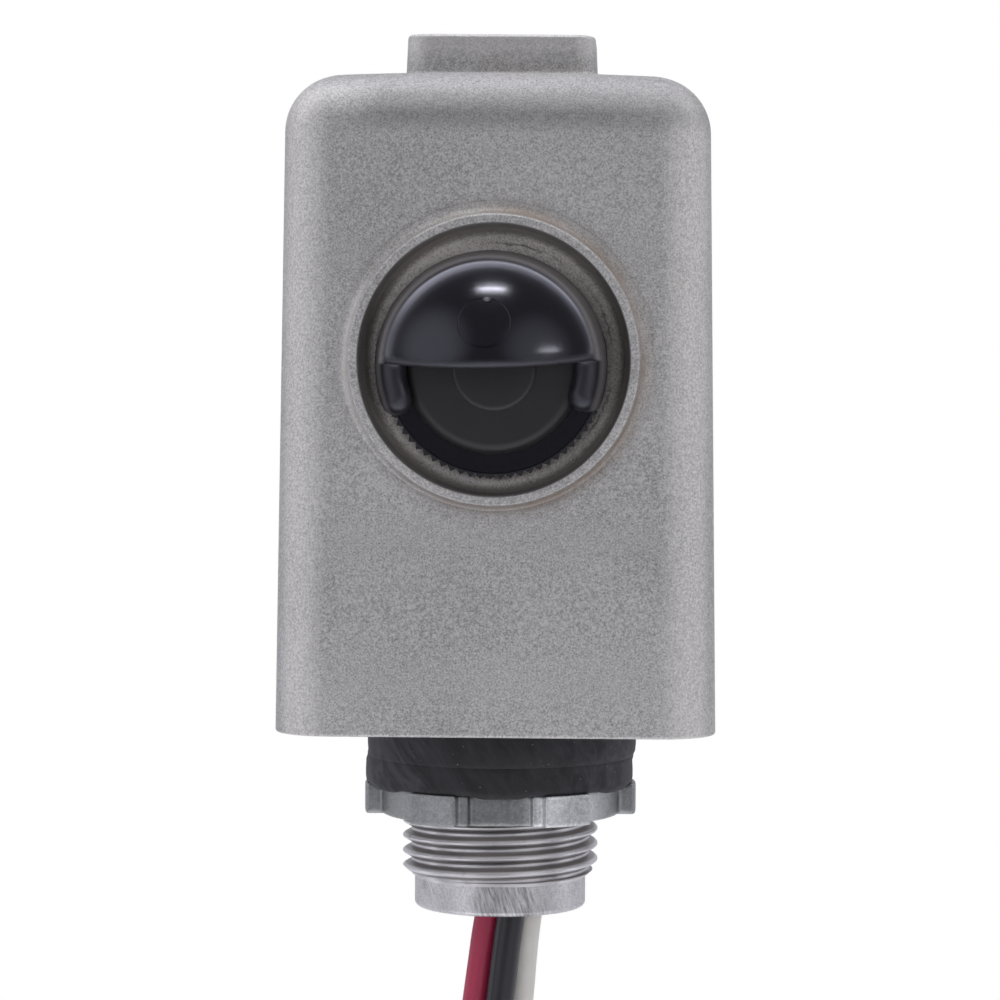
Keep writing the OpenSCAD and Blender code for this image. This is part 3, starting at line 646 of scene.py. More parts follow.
def cast_zinc(colours):
    """Tumbled cast zinc, with brown stain round the rim and on the boss."""
    finish = Finish("cast_zinc", Metallic=0.92)
    top = housing_high.z
    half_w = HOUSING_W / 2
    x, y, z = finish.axes()
    radius = distance(x, z - EYE_Z)
    front = y < -14 * MM
    grain = zinc_grain(finish)
    cloud = finish.noise(0.05, 3, 0.6)
    tone = finish.up(grain + (cloud - 0.5) * 0.16, 0.34, 0.62)
    # Brown stain beside the rim and on the boss
    ring = finish.ramp((radius - 14.7) * 0.25, (0, 0), (0.06, 1), (0.16, 0.8), (0.3, 0.3), (0.55, 0))
    right = finish.ramp(span(x, -10 * MM, 4 * MM), (0, 0.1), (1, 1))
    patches = finish.up(finish.noise(0.16, 4, 0.62), 0.40, 0.66)
    boss = finish.down(span(z, top - 5 * MM, top), 0.1, 0.75) * (y < 0) * 0.3 * (z > top - 4.6 * MM)
    stain = ring * front * (patches * 0.4 + right * 0.6) + boss * patches
    # Painted shade under the rim, and painted highlights on the rim's left flank and on the boss
    under_rim_shade = finish.ramp((radius - 13.5) * 0.25, (0.24, 0), (0.32, 1), (0.42, 1), (0.62, 0)) * front
    under_rim_shade = finish.down(span(z, EYE_Z - 16 * MM, EYE_Z - 8 * MM), 0.2, 1) * under_rim_shade
    # Painted highlight on the rim's left flank, near the eye's height
    flank = finish.ramp((radius - 14.6) * 0.5, (0, 0), (0.2, 1), (0.35, 1), (0.6, 0)) * (1 - right) * front
    flank = flank * finish.down((z - EYE_Z).size() * (0.1 / MM), 0.4, 0.9)
    # Painted highlight on the upper part of the boss
    boss_highlight = finish.up(span(z, top - 3.4 * MM, top - 0.4 * MM), 0.2, 0.8, 0.35)
    # A painted highlight along each side, with painted glints in it, and a band of painted shade below the
    # top
    side = finish.ramp(x.size() * (1 / half_w), (0.74, 0), (0.87, 1), (0.93, 0.8), (0.97, 0))
    painted_glints = finish.up(finish.noise(4.2, 1, 0.5), 0.45, 0.66)
    # Painted shade in a band below the top
    top_shade = finish.ramp(span(z, top - 12 * MM, top), (0.08, 0), (0.25, 0.5), (0.42, 0.5), (0.58, 0.05))
    top_shade = top_shade * finish.ramp(span(x, -half_w, half_w), (0.12, 0), (0.25, 1), (0.8, 1), (0.95, 0.6))
    # Grain, then the painted highlight along the sides, painted shade below the top and under the rim,
    # painted highlights on the rim's flank and the boss, and last the brown stain
    body = finish.coats(finish.mix(tone, colours.zinc_dark, colours.zinc),
                        (side * (0.3 + painted_glints * 0.6), (0.84, 0.82, 0.79)), (top_shade, (0.16, 0.16, 0.165)),
                        (under_rim_shade * 0.4, (0.17, 0.16, 0.155)), (flank * 0.5 + boss_highlight, (0.90, 0.88, 0.86)),
                        (stain * 0.72, colours.stain))
    return finish.made(body, 0.50 + grain * 0.16 + stain * 0.08, grain, 0.42, 0.09)


def recess_zinc(colours):
    """Dull metal of the recess, with marks where the hood has turned."""
    finish = Finish("recess_zinc", Metallic=0.55)
    x, y, z = finish.axes()
    radius = distance(x, z - EYE_Z)
    grain = zinc_grain(finish)
    wander = finish.noise(0.55, 3, 0.6, distortion=1.5)
    arcs = finish.up((radius * 3.1 + wander * 4).sine(), 0.90, 0.99)
    marks = arcs * finish.up(finish.noise(0.12, 2), 0.52, 0.64)
    # Painted light and shade: the recess lighter above and below the hood than at its sides, and lighter to
    # the left than to the right
    upright = finish.up((z - EYE_Z).size() * (1 / MM) / radius, 0.25, 0.95)
    tone = finish.ramp(grain, (0.3, 0.5), (0.68, 1.2)) * (0.85 + upright * 0.55)
    tone = tone * (1 - x * (0.25 / (12 * MM)))
    # Painted shade darkening the recess towards its wall
    wall = finish.ramp(radius - 12.6, (0.3, 0), (0.7, 0.5), (0.9, 0.62), (1, 0.8))
    # Painted shade at the recess mouth, dimming the highlight on its rounded edge
    mouth = finish.down(span(y, housing_low.y, housing_low.y + 1 * MM), 0.05, 0.15)
    body = finish.coats(finish.mix(1, colours.recess, tone, "MULTIPLY"), (wall, (0.07, 0.062, 0.058)),
                        (mouth, (0.24, 0.235, 0.23)), (marks * 0.55, (0.05, 0.045, 0.04)))
    return finish.made(body, 0.46 + grain * 0.14 + mouth * 0.15, grain - marks * 0.4, 0.5, 0.1)


def turned_zinc(colours):
    """Turned zinc of the stem: tool lines round it, painted shade on the thread's flanks with a painted glint
    left at each root, and steep scratches across the nose.
    """
    finish = Finish("turned_zinc", Metallic=1.0)
    x, y, z = finish.axes()
    nose = z < -6.6 * MM
    thread = z > -6.2 * MM
    lines = finish.noise(0.9, 3, 0.6, finish.moved(scale=(0.05, 0.05, 9)))
    grain = zinc_grain(finish)
    steep = finish.moved(rotation=(0, math.radians(17), 0), scale=(5, 0.6, 0.55))
    scratch = finish.up(finish.noise(0.9, 5, 0.65, steep), 0.38, 0.62)
    front = finish.ramp(span(x, -3 * MM, 6 * MM), (0.02, 0), (0.2, 1), (0.7, 1), (0.95, 0)) * (y < 0)
    area = finish.up(finish.noise(0.16, 2), 0.50, 0.64, 0.5)
    area = finish.up(area + front, 0, 1) * nose
    stains = finish.up(finish.noise(0.45, 4, 0.65), 0.56, 0.74)
    pits = finish.ramp(grain, (0.36, 0.5), (0.6, 0)) * nose
    # Painted shade on the thread's flanks, lighter at each root's bottom for a painted glint
    root = finish.ramp(distance(x, y) - 9.5, (0.07, 0.2), (0.18, 1), (0.6, 0.95), (0.85, 0)) * thread
    scratched = finish.mix(scratch, (0.17, 0.168, 0.168), (0.62, 0.62, 0.63))
    body = finish.coats(colours.stem, (stains * 0.45, (0.36, 0.345, 0.335)), (pits, (0.30, 0.295, 0.29)),
                        (root * 0.8, (0.17, 0.155, 0.145)), (area * 0.75, scratched))
    relief = lines + area * scratch * 0.8 + grain * nose * 0.4
    return finish.made(body, 0.25 + lines * 0.12 + nose * 0.10, relief, 0.25, 0.05)


def nut_zinc(colours):
    """Rough cast zinc with bright crystals."""
    finish = Finish("nut_zinc", Metallic=0.95)
    x = finish.axes()[0]
    grain = zinc_grain(finish)
    crystal = finish.cells(3.2, "Color")
    # Painted light and shade across the nut: lighter on the right lugs, darkest in the middle
    nut_light_and_shade = finish.ramp(span(x, -12 * MM, 12 * MM), (0.34, 0.46), (0.38, 0.35), (0.62, 0.35), (0.70, 1),
                       (0.9, 0.8), (1, 0.45)) * 2.4
    tone = finish.ramp(crystal * 0.3 + grain * 0.9, (0.36, 0.62), (0.85, 1)) * nut_light_and_shade * 1.15
    relief = grain * 0.7 + finish.noise(0.6, 3) * 0.6
    body = finish.mix(1, colours.nut, tone, "MULTIPLY")
    return finish.made(body, 0.32 + crystal * 0.14, relief, 0.18, 0.12)


def gasket_rubber(colours):
    """Black rubber with chalk, scratches and dust."""
    finish = Finish("gasket_rubber", Specular_IOR_Level=0.35)
    x = finish.axes()[0]
    smears = finish.moved(rotation=(0.5, 0.6, 0), scale=(1.3, 1, 0.25))
    flanks = finish.ramp(span(x, -14.4 * MM, 14.4 * MM), (0.02, 1), (0.32, 0.22), (0.7, 0.15), (0.98, 0.75))
    chalk = finish.up(finish.noise(0.55, 4, 0.7, smears, 0.6), 0.40, 0.66) * flanks
    dust = finish.dust(1.3, (0.06, 0.13), (0.6, 3), (0.44, 0.58))
    body = finish.coats(colours.gasket, (chalk * 0.6, (0.125, 0.123, 0.142)),
                        (dust * 0.55, (0.22, 0.22, 0.22)))
    return finish.made(body, 0.50 + chalk * 0.2, finish.noise(1.6, 3) + chalk * 0.3, 0.22, 0.08)


def hood_plastic(colours, hood):
    """Black moulded plastic, half gloss, with a little dust; its lip and arms are more satin and carry
    painted highlights, its outer wall a painted reflection and its mould nub a painted highlight.
    """
    finish = Finish("hood_plastic", Specular_IOR_Level=0.78, Specular_Tint=(0.86, 0.86, 1))
    x, y, z = finish.axes()
    turned = hood_frame(hood)
    start = turned @ Vector((-hood.slip, hood.lip_offset - hood.drop, 0))
    across = turned.to_3x3() @ lip_normal(hood)
    nub_at = turned @ Vector((0.05 * MM - hood.visor_shift - hood.slip, 6.5 * MM - hood.drop, 0))
    raised_y = start.y - 0.3 * MM
    raised = y < raised_y
    mottle = finish.noise(0.35, 3, 0.55)
    dust = finish.dust(0.75, (0.025, 0.045), (0.3, 2), (0.5, 0.62))
    height = ((x - start.x) * across.x + (y - start.y) * across.y + (z - start.z) * across.z) * (1 / MM)
    from_lip = height * 0.5 + 0.5
    # Painted highlights on the visor's lip and the arms, which are also rougher
    lip = finish.ramp(from_lip, (0.30, 0), (0.48, 1), (0.75, 0.8), (0.98, 0)) * raised
    arms = finish.down(from_lip, 0.30, 0.48) * raised
    rim_x = x + hood.slip
    rim_z = z - EYE_Z + hood.drop
    rim = finish.up(distance(rim_x, rim_z) - 11, 0.08, 0.2) * (y > raised_y)
    # Painted reflection on the outer wall of the visor and the arms, which is also rougher
    wall = finish.up(distance(rim_x + hood.visor_shift, rim_z) - 10.5 - arms * 0.5, 0, 0.5) * raised
    # Painted highlight on the mould nub
    nub = finish.down(distance(x - nub_at.x, (z - nub_at.z) * math.sqrt(2)), 0.12, 0.4) * raised
    body = finish.coats(colours.hood, (lip * 0.6 + arms * 0.35, (0.030, 0.028, 0.034)),
                        (rim * 0.5, (0.045, 0.043, 0.046)), (wall, (0.20, 0.19, 0.19)),
                        (nub, (0.14, 0.14, 0.16)), (dust * 0.5, (0.22, 0.22, 0.23)))
    rough = 0.14 + mottle * 0.05 + dust * 0.2 + lip * 0.27 + arms * 0.22 + rim * 0.25 + wall * 0.25
    return finish.made(body, rough, finish.noise(0.9, 2), 0.05, 0.05)


def lens_plastic(colours):
    """Smoke-grey moulded plastic."""
    finish = Finish("lens_plastic", Specular_IOR_Level=0.45)
    mottle = finish.noise(0.22, 3, 0.6)
    dust = finish.dust(0.5, (0.02, 0.04), (0.3, 2), (0.52, 0.64))
    body = finish.coats(colours.lens, (mottle, scaled(colours.lens, 1.25)), (dust * 0.4, (0.3, 0.3, 0.3)))
    return finish.made(body, 0.34 + mottle * 0.12, finish.noise(1.1, 2), 0.04, 0.05)


def insulation(name, tint, gloss):
    """Extruded insulation: even colour, faint lengthwise streaks and smears."""
    finish = Finish(name)
    streak = finish.noise(0.9, 2, 0.5, finish.moved(scale=(1, 1, 0.06)))
    smear = finish.up(finish.noise(0.12, 3, 0.6), 0.42, 0.7)
    body = finish.mix(streak * 0.55 + smear * 0.25, tint, scaled(tint, 0.72))
    return finish.made(body, gloss + smear * 0.12, streak, 0.08, 0.05)


def plain_metal(name, tint, rough, lines=(1, 1, 1)):
    """Sheet or drawn metal, with rolling lines and a little tarnish."""
    finish = Finish(name, Metallic=1.0)
    grain = finish.noise(1.8, 3, 0.6, finish.moved(scale=lines))
    tarnish = finish.up(finish.noise(0.22, 4, 0.6), 0.42, 0.72)
    body = finish.mix(tarnish * 0.6, tint, scaled(tint, 0.55))
    return finish.made(body, rough + grain * 0.14 + tarnish * 0.1, grain, 0.15, 0.05)


def plain_body(name, tint, second, rough, per_mm, stretch=(1, 1, 1)):
    """Board, paper, ceramic, rubber or plastic with its own mottle."""
    finish = Finish(name)
    mottle = finish.noise(per_mm, 4, 0.6, finish.moved(scale=stretch))
    body = finish.mix(finish.up(mottle, 0.32, 0.68), tint, second)
    return finish.made(body, rough + mottle * 0.12, mottle, 0.2, 0.06)


def cell_face():
    """Light cell: a red-brown film with a winding gap between two electrodes."""
    finish = Finish("cell_face")
    x, _, z = finish.axes()
    fold = (x * (2.4 / MM)).sine()
    track = finish.up(((z - EYE_Z) * (2.2 / MM) + fold).sine(), 0.30, 0.38)
    body = finish.mix(track, (0.42, 0.075, 0.03), (0.62, 0.58, 0.50))
    return finish.made(body, 0.30 + track * 0.2, track, 0.2, 0.05)


def bimetal():
    """Two bonded strips: a pale one in front and a coppery one behind."""
    finish = Finish("bimetal", Metallic=1.0)
    low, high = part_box("bimetal_blade")
    back = finish.axes()[1] > (low.y + high.y) / 2
    grain = finish.noise(1.6, 3, 0.6, finish.moved(scale=(1, 1, 0.1)))
    body = finish.mix(back, (0.62, 0.60, 0.56), (0.58, 0.38, 0.24))
    return finish.made(body, 0.28 + grain * 0.2, grain, 0.15, 0.04)


# Frames of the eye, whose local z points out of the front face and starts at the flange's front


def eye_frame(hood):
    """Turns the vertical axis to the eye's axis, at the front of the flange."""
    flange_y = hood_low.y + hood.visor_reach
    return Matrix.Translation((0, flange_y, EYE_Z)) @ Matrix.Rotation(math.pi / 2, 4, "X")


def hood_frame(hood):
    """The eye's frame, turned as the hood is."""
    return eye_frame(hood) @ Matrix.Rotation(hood.turn, 4, "Z")


def lip_normal(hood):
    """The direction upwards across the visor's lip, in the hood's frame."""
    return Vector((0, math.cos(hood.lip_tilt), math.sin(hood.lip_tilt)))


def settings(*names):
    """The scene's property groups of those names."""
    return [getattr(bpy.context.scene, "photocell_" + name) for name in names]


def base_screw_spots():
    """Places of the two base screws, at opposite corners."""
    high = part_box("base_screws")[1]
    return [(side * (high.x - SCREW_HEAD_R), side * (high.y - SCREW_HEAD_R)) for side in (-1, 1)]


class PHOTOCELL_OT_stage(bpy.types.Operator):
    """Sets up the floor, the soft light and the camera"""

    bl_idname = "photocell.stage"
    bl_label = "Stage"

    def softbox(self, name, location, aim, width, height, radiance, tint=(1, 1, 1)):
        begin()
        bpy.ops.object.light_add(type="AREA", location=location)
        light = bpy.context.object
        light.name = name
        light.data.shape = "ELLIPSE"
        light.data.size = width
        light.data.size_y = height
        light.data.energy = radiance * math.pi * width * height
        light.data.color = tint
        direction = Vector(aim) - Vector(location)
        light.rotation_euler = direction.to_track_quat("-Z", "Y").to_euler()
        light.visible_camera = False

    def floor(self):
        floor_r = 0.67
        clearance = 1 * MM
        open_circle(180, floor_r, (0, 0, cad_box[0][2] - clearance))
        select_all()
        bpy.ops.mesh.inset(thickness=floor_r / 3)
        floor = close("studio_floor")
        finish = Finish("pale_floor")
        cloud = finish.noise(0.004, 2)
        pale = finish.mix(cloud, (0.80, 0.80, 0.80), (0.84, 0.84, 0.84))
        finish.set(Base_Color=pale, Roughness=0.6 + cloud * 0.1)
        paint(floor, finish.material)

    def surround(self, view):
        """White to the camera; for light, dim all round with a bright arch over the object."""
        world = bpy.data.worlds.new("studio_surround")
        nodes = Nodes(world, "Generated")
        side, across, height = nodes.axes()
        behind = nodes.between(across, 0, 0.35)
        arch = nodes.between((across - 0.06).size(), 0.19, 0.01) * nodes.between(height, -0.35, 0)
        arch = arch * (0.32 + nodes.between(height, 0.3, 0.85) * 0.68)
        strength = behind * view.rear + arch * view.arch + view.surround
        # Soft round glows: direction, outer and inner angle in degrees, strength
        glows = (((-0.738, -0.642, 0.209), 36, 8, 0.72), ((0.606, -0.774, 0.185), 33, 5, 0.48))
        for centre, outer, inner, glow in glows:
            facing = side * centre[0] + across * centre[1] + height * centre[2]
            limits = [math.cos(math.radians(edge)) for edge in (outer, inner)]
            strength = strength + nodes.between(facing, *limits) * glow
        light = nodes.node("Background", sockets={"Color": (0.93, 0.93, 1), "Strength": strength})
        seen = nodes.node("Background", sockets={"Color": (1, 1, 1)})
        by_camera = nodes.node("LightPath", out="Is Camera Ray")
        shown = nodes.node("MixShader", sockets={0: by_camera, 1: light, 2: seen})
        output = nodes.tree.nodes.new("ShaderNodeOutputWorld")
        join(nodes.tree, output.inputs[0], shown)
        bpy.context.scene.world = world

    def camera(self, view):
        sensor = 36
        begin()
        turn = view.azimuth
        location = (view.distance * math.sin(turn), -view.distance * math.cos(turn), view.height)
        rotation = (math.pi / 2 - view.pitch, view.roll, turn + view.yaw)
        bpy.ops.object.camera_add(location=location, rotation=rotation)
        camera = bpy.context.object
        camera.name = "photo_camera"
        camera.data.sensor_width = sensor
        camera.data.lens = sensor * view.focal
        camera.data.clip_start = 0.01
        bpy.context.scene.camera = camera

    def execute(self, context):
        view = context.scene.photocell_view
        context.scene.view_settings.view_transform = "Standard"
        middle = (0, 0, 0.035)
        self.floor()
        self.surround(view)
        self.softbox("top_strip", (0, -0.25, 0.52), middle, 0.20, 0.012, 62.0)
        self.softbox("right_strip", (0.44, -0.42, 0.16), middle, 0.20, 0.05, 5.0, (1.0, 0.985, 0.96))
        self.softbox("table_bounce", (0, -0.31, -0.158), (0, -0.31, 0), 0.60, 0.38, 0.26)
        self.softbox("under_box", (0, -0.10, -0.158), (0, -0.10, 0), 0.32, 0.14, 0.4)
        self.camera(view)
        return {"FINISHED"}


def lead_lean(z):
    """Share of the leads' small sideways shift near the stem's end, where the photograph shows them."""
    start, full, hold, gone = 8 * MM, -9 * MM, -35 * MM, -80 * MM
    if z > hold:
        return min(max((start - z) / (start - full), 0), 1)
    return min(max((z - gone) / (hold - gone), 0), 1)


class PHOTOCELL_OT_leads(bpy.types.Operator):
    """Runs the three leads along their routes and strips their ends"""

    bl_idname = "photocell.leads"
    bl_label = "Leads"

    def tube(self, name, radius, rounding):
        """A new curve with a round section and closed ends."""
        curve = bpy.data.curves.new(name, "CURVE")
        curve.dimensions = "3D"
        curve.bevel_depth = radius
        curve.bevel_resolution = rounding
        curve.use_fill_caps = True
        obj = bpy.data.objects.new(name, curve)
        bpy.context.collection.objects.link(obj)
        return obj

    def lead(self, name, route, diameter, material):
        obj = self.tube(name, diameter / 2, 6)
        obj.data.resolution_u = 6
        spline = obj.data.splines.new("BEZIER")
        spline.bezier_points.add(len(route) - 1)
        for point, place_at in zip(spline.bezier_points, route):
            point.co = place_at
            point.handle_left_type = "AUTO"
            point.handle_right_type = "AUTO"
        paint(obj, material)
        return obj

    def strands(self, name, top, stem, material):
        """A twisted bundle of seven wires below a lead's end."""
        wire_r = stem.conductor_d / 6
        twist = FULL_TURN * 0.9
        points = 28
        into_lead = 1.5 * MM
        obj = self.tube(name, wire_r, 2)
        for wire in range(7):
            reach = 2 * wire_r if wire else 0
            spline = obj.data.splines.new("POLY")
            spline.points.add(points)
            for index, point in enumerate(spline.points):
                share = index / points
                a = FULL_TURN * wire / 6 + twist * share
                drop = into_lead - share * (stem.strip + into_lead)
                offset = Vector((reach * math.cos(a), reach * math.sin(a), drop))
                point.co = (*(top + offset), 1)
        activate(obj)
        bpy.ops.object.convert(target="MESH")
        obj = bpy.context.object
        bpy.ops.object.shade_smooth_by_angle(angle=math.radians(50))
        paint(obj, material)
        return settle(obj, "body", "tinned_wire", "lead_conductors")

    def execute(self, context):
        stem, colours = settings("stem", "colours")
        tinned = plain_metal("tinned_strands", (0.70, 0.68, 0.64), 0.22, (1, 1, 0.1))
        leads = (("red", RED_PATH, colours.red, 0.30), ("black", BLACK_PATH, colours.black, 0.28),
                 ("white", WHITE_PATH, colours.white, 0.36))
        for name, path, tint, gloss in leads:
            route = [Vector((*across, height)) * MM for across, height in zip(path, LEAD_HEIGHTS)]
            for point in route:
                point.x += LEAD_SHIFT * lead_lean(point.z)
            ends = self.strands(name + "_strands", route[-1], stem, tinned)
            covering = insulation(name + "_insulation", tuple(tint), gloss)
            lead = self.lead(name + "_wire", route, stem.lead_d, covering)
            settle(lead, "body", name + "_insulation", name + "_lead")
        return {"FINISHED"}


class PHOTOCELL_OT_housing(bpy.types.Operator):
    """Casts the housing: drafted block, wrench boss, raised rim, recess and cavity"""

    bl_idname = "photocell.housing"
    bl_label = "Housing"

    def leaning_block(self, name, low, high, lean, fall):
        """Opens a block whose top is narrower by the lean and falls to the right."""
        obj = block(name, low, high)
        edit(obj)
        size = Vector(high) - Vector(low)
        pick(obj, "FACE", lambda face: face.normal.z > 0.9)
        bpy.ops.transform.resize(value=(1 - lean / size.x, 1 - lean / size.y, 1))
        pick(obj, "VERT", lambda vert: vert.co.z > high[2] - NEAR and vert.co.x > 0)
        rise(-fall)
        return obj

    def drafted_block(self, name, low, high, draft, radius, segments, fall=0):
        """A block whose sides lean in, with round vertical and top edges; its top may fall to the right."""
        lean = 2 * (high[2] - low[2]) * math.tan(draft)
        obj = self.leaning_block(name, low, high, lean, fall)
        pick(obj, "EDGE", lambda edge: max(vert.co.z for vert in edge.verts) > high[2] - fall - NEAR)
        bpy.ops.mesh.bevel(offset=radius, segments=segments, affect="EDGES", clamp_overlap=False)
        return close(name)

    def shell(self, size, top_z):
        """The outer block, with a rounded foot and an arched top."""
        low = (-HOUSING_W / 2, -HOUSING_D / 2, SEAT_Z)
        high = (HOUSING_W / 2, HOUSING_D / 2, top_z)
        obj = self.drafted_block("housing_cast", low, high, size.draft, size.edge_r, 14, size.top_fall)
        edit(obj)
        pick(obj, "FACE", lambda face: face.normal.z > 0.9995)
        for share in (0.5, 0.35, 0.15):
            bpy.ops.mesh.inset(thickness=4 * MM, depth=0)
            rise(size.crown * share)
        pick(obj, "EDGE", lambda edge: max(vert.co.z for vert in edge.verts) < SEAT_Z + 0.01 * MM)
        bpy.ops.mesh.bevel(offset=0.3 * MM, segments=3, affect="EDGES")
        for cut in range(-4, 5):
            slice_open((cut * size.arch_reach / 5, 0, 0), (1, 0, 0))
        arched = top_z - size.edge_r - 0.2 * MM
        pick(obj, "VERT", lambda vert: abs(vert.co.x) < 0.01 * MM and vert.co.z > arched)
        pull(size.arch, "INVERSE_SQUARE", size.arch_reach)
        return close("housing_cast")

    def boss(self, size, top_z):
        """The wrench boss, with a small fillet at its foot."""
        root = 1.5 * MM
        fall = 0.15 * MM
        lift = 1.15 * MM
        low = (-size.boss_w / 2, -size.boss_d / 2, top_z)
        high = (size.boss_w / 2, size.boss_d / 2, housing_high.z - 0.75 * MM)
        lean = 2 * size.boss_h * math.tan(size.boss_draft)
        obj = self.leaning_block("wrench_boss", low, high, lean, fall)
        round_uprights(obj, size.boss_corner_r)
        pick(obj, "EDGE", lambda edge: min(vert.co.z for vert in edge.verts) > high[2] - fall - NEAR)
        bpy.ops.mesh.bevel(offset=0.35 * MM, segments=3, affect="EDGES")
        pick(obj, "FACE", lambda face: face.normal.z < -0.9)
        for drop, flare in ((0.35, 0.1), (0.25, 0.22), (0.15, 0.35)):
            extrude(-drop * MM)
            grow = (1 + 2 * flare * MM / size.boss_w, 1 + 2 * flare * MM / size.boss_d, 1)
            bpy.ops.transform.resize(value=grow)
        extrude(-root)
        return shift(close("wrench_boss"), 0, 0, lift)

    def rim(self, size, hood):
        """The raised rim and the pocket behind it, before they are hollowed."""
        face = hood.face_above_flange
        top = face + size.rim_h
        back = top - size.recess_depth - size.floor_t
        under = face - 1.2 * MM
        outer = size.recess_r + size.rim_flat
        round_r = 0.22 * MM
        back_r = size.recess_floor_r + size.floor_t
        foot = outer + size.rim_flank + 0.4 * MM
        profile = [(0, back), (back_r, back), (back_r, under), (foot, under)]
        fillet = ((1.0, -0.02), (0.78, 0.015), (0.58, 0.07), (0.4, 0.17), (0.26, 0.32), (0.15, 0.55),
                  (0.06, 0.85))
        profile += [(outer + reach * (foot - outer), face + height * MM) for reach, height in fillet]
        profile += arc((outer - round_r, top - round_r), round_r, 12, 90, 5)
        profile += [(0, top)]
        return place(lathe("recess_rim", profile, 192), eye_frame(hood))

    def hollow(self, size, hood):
        """The recess, with a rounded mouth, and the bearing hole of the hub."""
        top = hood.face_above_flange + size.rim_h
        floor = top - size.recess_depth
        mouth = 0.12 * MM
        floor_round = 0.8 * MM
        bearing = hood.hub_r + 0.06 * MM
        behind = floor - 8 * MM
        clear = top + 4 * MM
        profile = [(0, behind), (bearing, behind), (bearing, floor)]
        profile += arc((size.recess_floor_r - floor_round, floor + floor_round), floor_round, -90, 0, 8)
        profile += arc((size.recess_r + mouth, top - mouth), mouth, 180, 90, 4)
        profile += [(size.recess_r + mouth, clear), (0, clear)]
        return place(lathe("recess_hollow", profile, 192), eye_frame(hood))

    def cavity(self, size, top_z, ledge_z):
        """The inside of the housing, above the ledge that seals on the base plate."""
        inset = size.wall + (ledge_z - SEAT_Z) * math.tan(size.draft)
        x = HOUSING_W / 2 - inset
        y = HOUSING_D / 2 - inset
        low = (-x, -y, ledge_z - 0.1 * MM)
        high = (x, y, top_z - size.wall)
        return self.drafted_block("cavity", low, high, size.draft, size.edge_r - size.wall, 6)

    def skirt(self, size, ledge_z):
        """Room for the base plate inside the skirt."""
        x = HOUSING_W / 2 - size.skirt_lip
        y = HOUSING_D / 2 - size.skirt_lip
        obj = block("skirt_room", (-x, -y, SEAT_Z - 2 * MM), (x, y, ledge_z))
        edit(obj)
        round_uprights(obj, size.edge_r - size.skirt_lip)
        return close("skirt_room")

    def execute(self, context):
        size, hood, colours = settings("housing", "hood", "colours")
        top_z = housing_high.z - size.boss_h - 0.11 * MM
        ledge_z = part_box("base_gasket")[1].z
        zinc = cast_zinc(colours)
        obj = self.shell(size, top_z)
        paint(obj, zinc)
        combine(obj, self.boss(size, top_z), "UNION")
        combine(obj, self.cavity(size, top_z, ledge_z), "DIFFERENCE")
        combine(obj, self.rim(size, hood), "UNION")
        hollow = self.hollow(size, hood)
        paint(hollow, recess_zinc(colours))
        combine(obj, hollow, "DIFFERENCE")
        combine(obj, self.skirt(size, ledge_z), "DIFFERENCE")
        for spot in base_screw_spots():
            boss = rod("screw_boss", 3.8 * MM, ledge_z, ledge_z + 14 * MM, spot, 32)
            combine(obj, boss, "UNION")
            hole = rod("screw_hole", 1.65 * MM, ledge_z - 1 * MM, ledge_z + 13 * MM, spot, 32)
            combine(obj, hole, "DIFFERENCE")
        shade(obj)
        settle(obj, "body", "cast_zinc", "housing")
        return {"FINISHED"}


